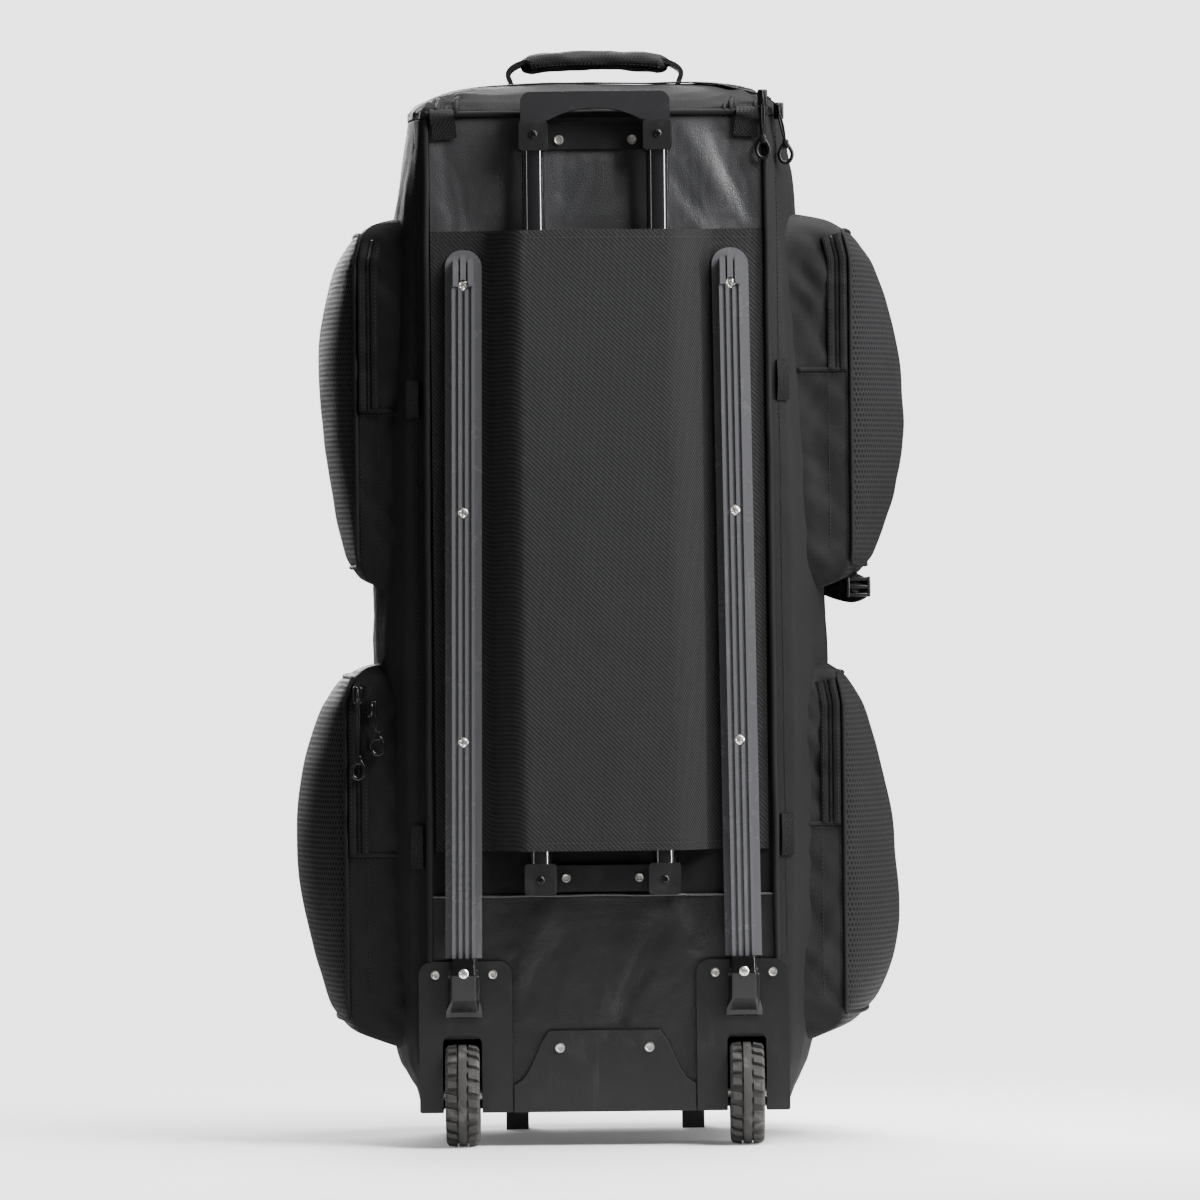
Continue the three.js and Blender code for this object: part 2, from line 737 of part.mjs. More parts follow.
// Moulded end below a rail, stepping down onto the housing
function railFoot(side) {
  const high = bodyBase + railLow - gap;
  const low = high - railFootHeight;
  const seat = plateY - housingThickness - gap;
  const half = railFootWidth / 2;
  const rows = [
    { up: 0, half: 1.2, proud: 0.2 },
    { up: 0.1, half: 1.2, proud: 0.35 },
    { up: 0.3, half: 1.02, proud: 0.8 },
    { up: 0.72, half: 1, proud: 1 },
    { up: 0.76, half: 0.92, proud: 1 },
    { up: 1, half: 0.9, proud: 0.92 },
  ];
  const rings = rows.map((row) => {
    const x = side * railBottomX;
    const wide = half * row.half;
    const face = seat - railFootProud * row.proud;
    const z = lerp(low, high, row.up);
    const chamfer = wide * 0.25;
    return [
      [x - wide + chamfer, face, z],
      [x + wide - chamfer, face, z],
      [x + wide, lerp(face, seat, 0.4), z],
      [x + wide, seat, z],
      [x - wide, seat, z],
      [x - wide, lerp(face, seat, 0.4), z],
    ];
  });
  return loft(rings);
}

// Envelope of a wheel well, grown by an offset
function housingBox(side, offset) {
  const half = wheelHalfWidth + wheelSideClearance + housingWall + offset;
  const deep = axleY + wheelRadius + wheelClearance + housingWall + offset;
  const high = axleZ() + wheelRadius + wheelClearance + housingWall + offset;
  return box([side * wheelX - half, backY - wellBehind, -belowFloor], [side * wheelX + half, deep, high]);
}

function axleZ() {
  return wheelRadius;
}

// Moulded housing: a plate on the back and a well round the wheel
function housing(side) {
  const left = side * housingX - housingWidth / 2;
  const right = side * housingX + housingWidth / 2;
  const outline = roundedOutline(left, right, bodyBase, bodyBase + housingHeight, 2, housingCorner);
  const face = plate(outline, plateY - housingThickness, housingThickness, 3);
  const inFront = box([-farOff, plateY - 1, bodyBase], [farOff, farOff, farOff]);
  const well = housingBox(side, 0).intersect(inFront);
  const open = wheelRadius + wheelClearance;
  const width = 2 * (wheelHalfWidth + wheelSideClearance);
  const centre = [side * wheelX, axleY, axleZ()];
  const round = cylinder(open, width, 'x', centre, 24);
  const half = width / 2;
  const x = side * wheelX;
  const below = box([x - half, axleY - open, -belowFloor], [x + half, axleY + open, axleZ()]);
  const windowHalf = wheelHalfWidth + windowSide;
  const windowHigh = bodyBase + windowHeight;
  const windowOutline = roundedOutline(x - windowHalf, x + windowHalf, -belowFloor, windowHigh, 0, windowCorner);
  const window = plate(windowOutline, plateY - 2 * housingThickness, 4 * housingThickness, 2);
  const bore = cylinder(axleRadius + gap, housingWidth, 'x', centre, 10);
  return join(face, well).subtract(join(round, below, window, bore));
}

// Tyre with a middle ridge and blocks that alternate on its shoulders
function tyre(side) {
  const sectionAt = (step) => {
    const leftLug = step % 2 === 0 ? 0 : lugDepth;
    const rightLug = step % 2 === 0 ? lugDepth : 0;
    const x = side * wheelX;
    const half = wheelHalfWidth;
    const inner = hubRadius + gap;
    return [
      [x - half * 0.8, inner],
      [x + half * 0.8, inner],
      [x + half, wheelRadius * 0.93 - rightLug],
      [x + half * 0.34, wheelRadius * 0.985 - rightLug],
      [x + half * 0.2, wheelRadius],
      [x - half * 0.2, wheelRadius],
      [x - half * 0.34, wheelRadius * 0.985 - leftLug],
      [x - half, wheelRadius * 0.93 - leftLug],
    ];
  };
  return turnAboutX(sectionAt, 2 * lugCount, axleY, axleZ());
}

// Hub with dished sides and a bore for the axle
function hub(side) {
  const x = side * wheelX;
  const bore = axleRadius + gap;
  const dish = 4;
  const section = [
    [x - hubHalfWidth, bore],
    [x + hubHalfWidth, bore],
    [x + hubHalfWidth, hubRadius * 0.3],
    [x + hubHalfWidth - dish, hubRadius * 0.6],
    [x + hubHalfWidth, hubRadius],
    [x - hubHalfWidth, hubRadius],
    [x - hubHalfWidth + dish, hubRadius * 0.6],
    [x - hubHalfWidth, hubRadius * 0.3],
  ];
  return turnAboutX(() => section, 16, axleY, axleZ());
}

function makeWheels() {
  const half = wheelHalfWidth + wheelSideClearance + housingWall;
  for (const [name, side] of [['left', -1], ['right', 1]]) {
    const centre = [side * wheelX, axleY, axleZ()];
    addPiece(`wheel_housing_${name}`, housing(side), finishes.moulded);
    addPiece(`tyre_${name}`, tyre(side), finishes.tyreRubber);
    addPiece(`hub_${name}`, hub(side), finishes.moulded);
    addPiece(`axle_${name}`, cylinder(axleRadius, 2 * half, 'x', centre, 10), finishes.steel);
  }
}

// Moulded plate between the housings
function makeKickPlate() {
  const low = bodyBase;
  const high = bodyBase + kickHeight;
  const half = kickWidth / 2;
  const topHalf = kickTopWidth / 2;
  const shape = new THREE.Shape();
  shape.moveTo(-half, low);
  shape.lineTo(half, low);
  shape.lineTo(half, low + kickShoulder);
  shape.bezierCurveTo(half - 16, low + kickShoulder + 4, topHalf + 12, high - 12, topHalf, high);
  shape.lineTo(-topHalf, high);
  shape.bezierCurveTo(-topHalf - 12, high - 12, -half + 16, low + kickShoulder + 4, -half, low + kickShoulder);
  addPiece('kick_plate', plate(shape, plateY - kickThickness, kickThickness), finishes.moulded);
}

function makeFeet() {
  const middle = axleY + footSetback;
  for (const [name, side] of [['left', -1], ['right', 1]]) {
    const low = [side * footX - footWidth / 2, middle - footLength / 2, 0];
    const high = [side * footX + footWidth / 2, middle + footLength / 2, bodyBase - gap];
    addPiece(`foot_${name}`, box(low, high), finishes.moulded);
  }
}

// Filled pocket, grown by an offset, on the right and then mirrored where it is a left one
function pocketSolid(pocket, offset) {
  const low = bodyBase + pocket.low * bodyHeight;
  const high = bodyBase + pocket.high * bodyHeight;
  const rings = pocketRows.map((row) => {
    const reached = Math.min(row.up / pocket.peak, (1 - row.up) / (1 - pocket.peak));
    const swell = Math.sin((Math.PI / 2) * reached) ** 0.75;
    const rootX = bodyHalfWidth - pocketRoot;
    const fullSeam = bodyHalfWidth + pocket.seam * pocketReach;
    const seamX = lerp(rootX, fullSeam, row.seam);
    const bulge = (pocket.reach - pocket.seam) * pocketReach * swell;
    const toEnd = Math.min(row.up, 1 - row.up) * (high - low);
    const rise = Math.max(0, pocketCorner - toEnd) / pocketCorner;
    const drawIn = pocketCorner * (1 - Math.sqrt(1 - rise ** 2)) * cornerRound;
    const wrinkle = gussetWrinkle * row.wrinkle;
    const seamBack = backY + pocketSeamInset + drawIn;
    const seamFront = frontY - pocketFrontInset - drawIn;
    const rootBack = backY + pocketBackInset + drawIn;
    const section = [
      [rootX - rootInside, rootBack],
      [rootX, rootBack],
      [lerp(rootX, seamX, gussetMiddle), lerp(rootBack, seamBack, 0.5) + wrinkle],
      [seamX, seamBack],
    ];
    const faceSteps = 5;
    for (let i = 1; i < faceSteps; i += 1) {
      const share = i / faceSteps;
      const x = seamX + bulge * Math.sin(Math.PI * share) ** 0.6;
      section.push([x, lerp(seamBack, seamFront, share)]);
    }
    section.push([seamX, seamFront], [rootX - rootInside, seamFront + frontGussetFlare]);
    const grown = moveOut(section, () => offset);
    const z = row.up === 0 ? low - offset : row.up === 1 ? high + offset : lerp(low, high, row.up);
    const ring = grown.map(([x, y]) => [pocket.side * x, y, z]);
    return pocket.side > 0 ? ring : ring.reverse();
  });
  return loft(rings);
}

function makePockets() {
  const body = bodySolid(gap);
  for (const pocket of pocketTable) {
    const hollow = pocketSolid(pocket, 0).subtract(pocketSolid(pocket, -pocketWall));
    addPiece(`pocket_${pocket.name}`, hollow.subtract(body), finishes.dobby);
    addPiece(`pocket_zip_${pocket.name}`, pocketZip(pocket), finishes.zipTape);
  }
}

// Zip along the back gusset of a pocket, beside its seam
function pocketZip(pocket) {
  const skin = pocketSolid(pocket, gap + zipThickness).subtract(pocketSolid(pocket, gap));
  const height = pocket.high - pocket.low;
  const high = bodyBase + (pocket.high - 0.06 * height) * bodyHeight;
  const low = bodyBase + (pocket.high - pocket.zip * height) * bodyHeight;
  const outer = bodyHalfWidth + pocket.seam * pocketReach - pocketZipInset;
  const xs = [pocket.side * outer, pocket.side * (outer - pocketZipWidth)].sort((a, b) => a - b);
  return skin.intersect(box([xs[0], backY - 20, low], [xs[1], backY + 60, high]));
}

// Main zip: over the lid in a hoop, and down both front corners of the body
function makeMainZip() {
  const topHalf = bodyRows.at(-1).width * bodyHalfWidth;
  const middleY = (backY + frontY) / 2;
  const halfDepth = bodyDepth / 2;
  const hoop = [
    { across: -0.8, along: 0.62 },
    { across: -0.84, along: 0.2 },
    { across: -0.82, along: -0.3 },
    { across: -0.62, along: -0.42 },
    { across: 0, along: -0.4 },
    { across: 0.5, along: -0.52 },
    { across: 0.84, along: -0.8 },
    { across: 0.86, along: -0.3 },
    { across: 0.84, along: 0.2 },
    { across: 0.8, along: 0.62 },
  ];
  const points = hoop.map(({ across, along }) => {
    return new THREE.Vector3(across * topHalf, middleY + along * halfDepth, 0);
  });
  const path = new THREE.CatmullRomCurve3(points, false, 'centripetal').getPoints(11);
  const outline = stripOutline(path, mainZipWidth / 2);
  const ribbon = new THREE.ExtrudeGeometry(new THREE.Shape(outline), { depth: 2 * lidRise, bevelEnabled: false });
  ribbon.translate(0, 0, lidBase + 0.1 * lidRise);
  const skin = lidSolid(gap + zipThickness).subtract(lidSolid(gap));
  addPiece('main_zip_top', skin.intersect(toSolid(ribbon)), finishes.zipTape);
  for (const [name, side] of [['main_zip_left', -1], ['main_zip_right', 1]]) {
    const inner = topHalf - frontCornerWidth;
    const xs = [side * inner, side * (inner + mainZipWidth)].sort((a, b) => a - b);
    const low = [xs[0], middleY, bodyBase + 0.12 * bodyHeight];
    addPiece(name, bodyPatch(low, [xs[1], frontY, bodyTop - gap], zipThickness), finishes.zipTape);
  }
}

// Outline of an even strip either side of a path in x and y
function stripOutline(path, half) {
  const left = [];
  const right = [];
  path.forEach((point, i) => {
    const before = path[Math.max(0, i - 1)];
    const after = path[Math.min(path.length - 1, i + 1)];
    const along = after.clone().sub(before).normalize();
    left.push(new THREE.Vector2(point.x - along.y * half, point.y + along.x * half));
    right.push(new THREE.Vector2(point.x + along.y * half, point.y - along.x * half));
  });
  return [...left, ...right.reverse()];
}

// Slider, its cord and the ring at the end, hanging flat with their backs at one depth
function pull(backFace, slider, ring, sliderDeep = 0) {
  const body = box(
    [slider.x - sliderWidth / 2, backFace - sliderHeight, slider.z - sliderLength / 2],
    [slider.x + sliderWidth / 2, backFace + sliderDeep, slider.z + sliderLength / 2],
  );
  const y = backFace - pullRingWire;
  const loop = new THREE.TorusGeometry(pullRingRadius, pullRingWire, 5, 10);
  loop.scale(1, pullRingStretch, 1);
  loop.rotateX(Math.PI / 2);
  loop.translate(ring.x, y, ring.z);
  const middle = [lerp(slider.x, ring.x, 0.5), y, lerp(slider.z, ring.z, 0.5)];
  const ends = [[slider.x, y, slider.z], middle, [ring.x, y, ring.z + pullRingStretch * pullRingRadius]];
  return join(body, toSolid(loop), bar(ends, pullRingWire - 0.1, 2, 6));
}

// Two pulls at the right end of the main zip and two on the lower left pocket
function makePulls() {
  const overPiping = backY - 2 * pipingRadius - 2 * gap;
  const pullDeep = 8;
  const overCorner = backY + pullDeep;
  const sliderZ = pipingTopZ + pipingRadius + 3 * gap + sliderLength / 2;
  const leftX = pipingHalfTop - pipingRadius;
  const left = pull(overPiping, { x: leftX, z: sliderZ }, { x: leftX + 1, z: bodyTop - 30 }, 2 * pipingRadius);
  const ringHalf = pullRingRadius + pullRingWire;
  const ringDrop = 34;
  const ringX = cornerX(1 - ringDrop / bodyHeight, pullDeep) + ringHalf + gap;
  const sliderX = cornerX(1, pullDeep) + sliderWidth / 2 + gap;
  const right = pull(overCorner, { x: sliderX, z: bodyTop + 4 }, { x: ringX, z: bodyTop - ringDrop });
  addPiece('main_pull_left', left, finishes.steel);
  addPiece('main_pull_right', right, finishes.steel);
  const pocket = pocketTable.find((row) => row.name === 'lower_left');
  const seam = bodyHalfWidth + pocket.seam * pocketReach;
  const high = bodyBase + pocket.high * bodyHeight;
  const overGusset = backY + lerp(pocketBackInset, pocketSeamInset, 0.5) - 1;
  const zipX = pocket.side * (seam - pocketZipInset - pocketZipWidth / 2);
  const upper = pull(overGusset, { x: zipX, z: high - 34 }, { x: zipX, z: high - 100 });
  const lower = pull(overGusset, { x: zipX + 12, z: high - 46 }, { x: zipX + 17, z: high - 79 });
  addPiece('pocket_pull_upper', upper, finishes.moulded);
  addPiece('pocket_pull_lower', lower, finishes.moulded);
}

// Webbing tabs at the top corners and in the side seams
function makeTabs() {
  for (const [name, side] of [['left', -1], ['right', 1]]) {
    const outer = pipingHalfTop - pipingRadius - 1;
    const xs = [side * outer, side * (outer - cornerTabWidth)].sort((a, b) => a - b);
    const low = [xs[0], panelY - gap - webbing, bodyTop - cornerTabHeight];
    const high = [xs[1], panelY - gap, bodyTop - gap];
    addPiece(`corner_tab_${name}`, box(low, high), finishes.webbing);
  }
  for (const tab of sideTabs) {
    const inner = pipingHalfBottom + pipingRadius + gap;
    const xs = [tab.side * inner, tab.side * (inner + sideTabWidth)].sort((a, b) => a - b);
    const low = [xs[0], backY - 10, bodyBase + tab.low * bodyHeight];
    const high = [xs[1], backY + 30, bodyBase + tab.high * bodyHeight];
    addPiece(`side_tab_${tab.name}`, bodyPatch(low, high, webbing), finishes.webbing);
  }
}

// Carry handle: a webbing strap arched over the lid inside a padded wrap
function makeHandle() {
  const foot = crownZ - strapSunk;
  const half = [
    [-handleFootX, foot],
    [-handleFootX - 3, foot + 0.3 * handleRise],
    [-handleFootX - 4, foot + 0.6 * handleRise],
    [-handleFootX + 5, foot + 0.8 * handleRise],
    [-handleFootX / 2, foot + 0.97 * handleRise],
  ];
  const arch = [...half, [0, foot + handleRise], ...half.toReversed().map(([x, z]) => [-x, z])];
  const curve = new THREE.CatmullRomCurve3(arch.map(([x, z]) => new THREE.Vector3(x, z, 0)));
  const path = curve.getPoints(18);
  const lid = lidSolid(gap);
  const strap = band(path, strapThickness / 2, strapWidth);
  addPiece('carry_strap', strap.subtract(lid), finishes.webbing);
  const wrapPath = path.filter((point) => Math.abs(point.x) < wrapLength / 2 - 4 && point.y > foot + 0.7 * handleRise);
  const wrap = paddedBar(wrapPath).subtract(band(path, strapThickness / 2 + gap, strapWidth + 2 * gap));
  addPiece('carry_wrap', wrap, finishes.wovenNylon);
}

// Flat band along a path in x and z, as wide as given along y
function band(path, half, width) {
  const outline = stripOutline(path, half);
  return plate(new THREE.Shape(outline), handleY - width / 2, width);
}

// Soft round wrap along a path in x and z
function paddedBar(path) {
  const sides = 10;
  const rings = path.map((point, i) => {
    const before = path[Math.max(0, i - 1)];
    const after = path[Math.min(path.length - 1, i + 1)];
    const along = after.clone().sub(before).normalize();
    const toEnd = Math.min(i, path.length - 1 - i);
    const size = toEnd === 0 ? 0.8 : 1;
    return Array.from({ length: sides }, (unused, k) => {
      const angle = (2 * Math.PI * k) / sides;
      const out = (Math.cos(angle) * wrapThickness * size) / 2;
      const y = handleY + (Math.sin(angle) * wrapDepth * size) / 2;
      return [point.x - along.y * out, y, point.y + along.x * out];
    });
  });
  return loftAcross(rings);
}

// Skin through rings that stand across a path, their ends closed by fans
function loftAcross(rings) {
  const count = rings[0].length;
  const positions = rings.flat(2);
  const index = [];
  for (let row = 0; row + 1 < rings.length; row += 1) {
    for (let step = 0; step < count; step += 1) {
      const next = (step + 1) % count;
      const a = row * count + step;
      const b = row * count + next;
      const c = (row + 1) * count + next;
      const d = (row + 1) * count + step;
      index.push(a, c, b, a, d, c);
    }
  }
  const last = (rings.length - 1) * count;
  for (let step = 1; step + 1 < count; step += 1) {
    index.push(0, step, step + 1);
    index.push(last, last + step + 1, last + step);
  }
  const geometry = new THREE.BufferGeometry();
  geometry.setAttribute('position', new THREE.Float32BufferAttribute(positions, 3));
  geometry.setIndex(index);
  return toSolid(geometry);
}

makeBody();
makeBackPanels();
makePiping();
makeSleeve();
makeTrolley();
makeRails();
makeWheels();
makeKickPlate();
makeFeet();
makePockets();
makeMainZip();
makePulls();
makeTabs();
makeHandle();

export default bag;
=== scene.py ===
"""Looks of a wheeled kit bag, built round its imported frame. Metres, +Z up, the wheeled back facing -Y."""

import math

import bmesh
import bpy
from mathutils import Matrix, Vector, noise
from mathutils.bvhtree import BVHTree


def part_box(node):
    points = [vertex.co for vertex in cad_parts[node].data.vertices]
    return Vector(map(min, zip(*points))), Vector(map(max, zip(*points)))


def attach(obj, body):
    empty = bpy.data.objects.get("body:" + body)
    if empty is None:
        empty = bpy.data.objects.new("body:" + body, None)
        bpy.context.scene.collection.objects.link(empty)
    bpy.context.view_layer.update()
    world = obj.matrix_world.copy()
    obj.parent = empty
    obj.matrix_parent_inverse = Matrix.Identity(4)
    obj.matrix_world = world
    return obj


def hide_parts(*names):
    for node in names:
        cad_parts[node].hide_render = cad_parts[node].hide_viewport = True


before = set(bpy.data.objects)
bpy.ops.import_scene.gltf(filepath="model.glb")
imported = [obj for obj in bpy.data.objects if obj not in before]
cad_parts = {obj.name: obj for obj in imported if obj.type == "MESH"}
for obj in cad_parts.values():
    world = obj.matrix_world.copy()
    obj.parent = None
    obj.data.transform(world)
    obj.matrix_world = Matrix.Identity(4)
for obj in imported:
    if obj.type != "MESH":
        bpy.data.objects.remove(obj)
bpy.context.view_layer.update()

bl_info = {
    "name": "Wheeled kit bag",
    "version": (1, 0, 0),
    "blender": (4, 5, 0),
    "location": "View3D > Sidebar > Kit bag",
    "description": "Dresses the frame of a wheeled kit bag in cloth, vinyl, rubber and moulded plastic",
    "category": "Add Mesh",
}

MM = 0.001
FLOOR_RADIUS = 1.1
FLOOR_FADE = 0.32
FLOOR_GLOW = 0.12
BODY_LOW, BODY_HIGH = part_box("main_shell")
BACK_Y = BODY_LOW.y
BACKWARD = Vector((0, -1, 0))
SIDES = (("left", -1), ("right", 1))
SAME_PLACE, CLOSED_WITHIN = 0.01 * MM, 0.02 * MM
PLAIN, DIAGONAL = 2.0, 4.0
TUBE_BLACK, TUBE_RUBBED = (0.006, 0.006, 0.007), (0.05, 0.05, 0.052)
BLACKENED = (0.022, 0.022, 0.023)
TYRE_DUST = (0.13, 0.125, 0.12)


def length_of(name, about, default):
    """A length that the panel shows."""
    return bpy.props.FloatProperty(name=name, description=about, default=default, unit="LENGTH")


def colour_of(name, about, default):
    """A colour that the panel shows."""
    return bpy.props.FloatVectorProperty(name=name, description=about, subtype="COLOR", default=default)


class BagSizes(bpy.types.PropertyGroup):
    """Sizes that a maker would change"""

    seam_cord: length_of("Seam cord", "Radius of the covered cord in a pocket's seam", 2.1 * MM)
    stitch_pitch: length_of("Stitch pitch", "Distance from one stitch to the next", 3.6 * MM)
    tooth_pitch: length_of("Zip pitch", "Distance from one coil of a zip to the next", 1.8 * MM)
    ballistic_pitch: length_of("Sleeve weave", "Width of one yarn of the coarse sleeve", 1.0 * MM)
    plain_pitch: length_of("Plain weave", "Width of one yarn of the plain cloth", 1.1 * MM)
    honeycomb_pitch: length_of("Honeycomb", "Distance between the cells of the pocket cloth", 5.2 * MM)
    crease: length_of("Crease depth", "How deep the cloth's creases are", 2.2 * MM)


class BagColours(bpy.types.PropertyGroup):
    """Colours and finishes that a maker would change"""

    cloth: colour_of("Cloth", "Plain black cloth", (0.0105, 0.0105, 0.0112))
    sleeve: colour_of("Sleeve", "Coarse black sleeve", (0.013, 0.013, 0.0135))
    pocket: colour_of("Pocket", "Honeycomb cloth", (0.0135, 0.0135, 0.0143))
    vinyl: colour_of("Vinyl", "Coated panels", (0.008, 0.008, 0.0085))
    plastic: colour_of("Plastic", "Moulded pieces", (0.006, 0.006, 0.0064))
    rubber: colour_of("Rubber", "Tyres under their dust", (0.03, 0.029, 0.028))
    metal: colour_of("Metal", "Screws and rivets", (0.62, 0.6, 0.57))


def sizes():
    """The sizes that the panel shows."""
    return bpy.context.scene.bag_sizes


def colours():
    """The colours that the panel shows."""
    return bpy.context.scene.bag_colours


# Shader node groups


def shared_group(name, inputs, outputs, fill):
    """A shader group with named sockets, filled the first time that it is asked for."""
    if name not in bpy.data.node_groups:
        group = bpy.data.node_groups.new(name, "ShaderNodeTree")
        for socket, value in inputs.items():
            kind = "NodeSocketVector" if value is None else "NodeSocketFloat"
            made = group.interface.new_socket(socket, in_out="INPUT", socket_type=kind)
            if value is not None:
                made.default_value = value
        for socket in outputs:
            group.interface.new_socket(socket, in_out="OUTPUT", socket_type="NodeSocketFloat")
        start = group.nodes.new("NodeGroupInput")
        stop = group.nodes.new("NodeGroupOutput")
        fill(group, start.outputs, stop.inputs)
    return bpy.data.node_groups[name]


def feed(tree, target, value):
    """Gives an input socket a value, or links another socket to it."""
    if isinstance(value, bpy.types.NodeSocket):
        tree.links.new(value, target)
    else:
        target.default_value = value


def maths(tree, operation, first, second=None, third=None):
    """A math node whose inputs are sockets or numbers; its output socket."""
    node = tree.nodes.new("ShaderNodeMath")
    node.operation = operation
    for slot, value in enumerate((first, second, third)):
        if value is not None:
            feed(tree, node.inputs[slot], value)
    return node.outputs[0]


def noise_texture(tree, **values):
    """A noise texture node; each value is a number or a socket."""
    node = tree.nodes.new("ShaderNodeTexNoise")
    for socket, value in values.items():
        feed(tree, node.inputs[socket], value)
    return node


def stretched(tree, value, **limits):
    """A value mapped from one span of numbers to another."""
    node = tree.nodes.new("ShaderNodeMapRange")
    tree.links.new(value, node.inputs["Value"])
    for socket, number in limits.items():
        node.inputs[socket.replace("_", " ")].default_value = number
    return node.outputs[0]


def cloth_plane():
    """Turns object coordinates into a plane that follows the cloth round the bag's corners."""

    def fill(group, start, stop):
        split = group.nodes.new("ShaderNodeSeparateXYZ")
        group.links.new(start["Vector"], split.inputs[0])
        side = maths(group, "ABSOLUTE", split.outputs["X"])
        group.links.new(maths(group, "ADD", side, split.outputs["Y"]), stop["Across"])
        group.links.new(split.outputs["Z"], stop["Up"])

    return shared_group("cloth_plane", {"Vector": None}, ("Across", "Up"), fill)


def yarns():
    """Woven yarns: raised over and under each other, plain where Run is 2 and diagonal where it is 4."""

    def ridge(group, yarn):
        """The rounded height across one yarn."""
        return maths(group, "SINE", maths(group, "MULTIPLY", maths(group, "FRACT", yarn), math.pi))

    def fill(group, start, stop):
        u = maths(group, "DIVIDE", start["Across"], start["Pitch"])
        v = maths(group, "DIVIDE", start["Up"], start["Pitch"])
        cells = maths(group, "ADD", maths(group, "FLOOR", u), maths(group, "FLOOR", v))
        place = maths(group, "FLOORED_MODULO", cells, start["Run"])
        over = maths(group, "LESS_THAN", place, maths(group, "MULTIPLY", start["Run"], 0.5))
        upper = maths(group, "MULTIPLY", ridge(group, u), over)
        sunk = maths(group, "MULTIPLY", ridge(group, v), start["Under"])
        lower = maths(group, "MULTIPLY", sunk, maths(group, "SUBTRACT", 1.0, over))
        group.links.new(maths(group, "ADD", upper, lower), stop["Height"])

    inputs = {"Across": 0.0, "Up": 0.0, "Pitch": 0.001, "Run": PLAIN, "Under": 1.0}
    return shared_group("yarns", inputs, ("Height",), fill)


def honeycomb():
    """Six-sided cells: high on the walls and low in the cells."""

    def fill(group, start, stop):
        turn = maths(group, "DIVIDE", 4 * math.pi / math.sqrt(3), start["Pitch"])
        u = maths(group, "MULTIPLY", start["Across"], turn)
        v = maths(group, "MULTIPLY", start["Up"], turn)
        total = maths(group, "COSINE", v)
        for lean in (-1, 1):
            slanted = maths(group, "MULTIPLY", u, lean * math.sqrt(3) / 2)
            halved = maths(group, "MULTIPLY", v, 0.5)
            total = maths(group, "ADD", total, maths(group, "COSINE", maths(group, "ADD", slanted, halved)))
        level = maths(group, "MULTIPLY", maths(group, "ADD", total, 1.5), 1 / 4.5)
        group.links.new(maths(group, "POWER", maths(group, "SUBTRACT", 1.0, level), 2.0), stop["Height"])

    return shared_group("honeycomb", {"Across": 0.0, "Up": 0.0, "Pitch": 0.004}, ("Height",), fill)


def soft_folds():
    """Broad soft folds and a fine uneven grain, for vinyl and cloth; the second output is the broad fold noise alone,
    which paints shade into the fold hollows and light onto the crests.
    """

    def fill(group, start, stop):
        place = start["Vector"]
        broad = noise_texture(group, Vector=place, Scale=start["Scale"], Detail=3.0, Distortion=1.2)
        fine = noise_texture(group, Vector=place, Scale=start["Fine Scale"], Detail=2.0)
        grain = maths(group, "MULTIPLY", fine.outputs["Fac"], start["Fine Share"])
        group.links.new(maths(group, "ADD", broad.outputs["Fac"], grain), stop["Height"])
        # The same broad noise as the fold bump, used to paint shade in the hollows and light on the crests.
        group.links.new(broad.outputs["Fac"], stop["Fold Shade"])

    inputs = {"Vector": None, "Scale": 12.0, "Fine Scale": 900.0, "Fine Share": 0.15}
    return shared_group("soft_folds", inputs, ("Height", "Fold Shade"), fill)


def scuffs():
    """Thin worn streaks and settled dust, as two masks."""

    def fill(group, start, stop):
        place = start["Vector"]
        stretch = group.nodes.new("ShaderNodeMapping")
        stretch.inputs["Scale"].default_value = (1.0, 1.0, 0.12)
        stretch.inputs["Rotation"].default_value = (0.0, 0.15, 0.0)
        group.links.new(place, stretch.inputs["Vector"])
        long = stretch.outputs[0]
        streak = noise_texture(group, Vector=long, Scale=start["Streak Scale"], Detail=8.0, Roughness=0.7)
        dust = noise_texture(group, Vector=place, Scale=start["Dust Scale"], Detail=10.0, Roughness=0.75)
        for node, name, low, high in ((streak, "Streaks", 0.6, 0.72), (dust, "Dust", 0.52, 0.75)):
            mask = stretched(group, node.outputs["Fac"], From_Min=low, From_Max=high)
            group.links.new(mask, stop[name])

    inputs = {"Vector": None, "Streak Scale": 60.0, "Dust Scale": 25.0}
    return shared_group("scuffs", inputs, ("Streaks", "Dust"), fill)


# Materials


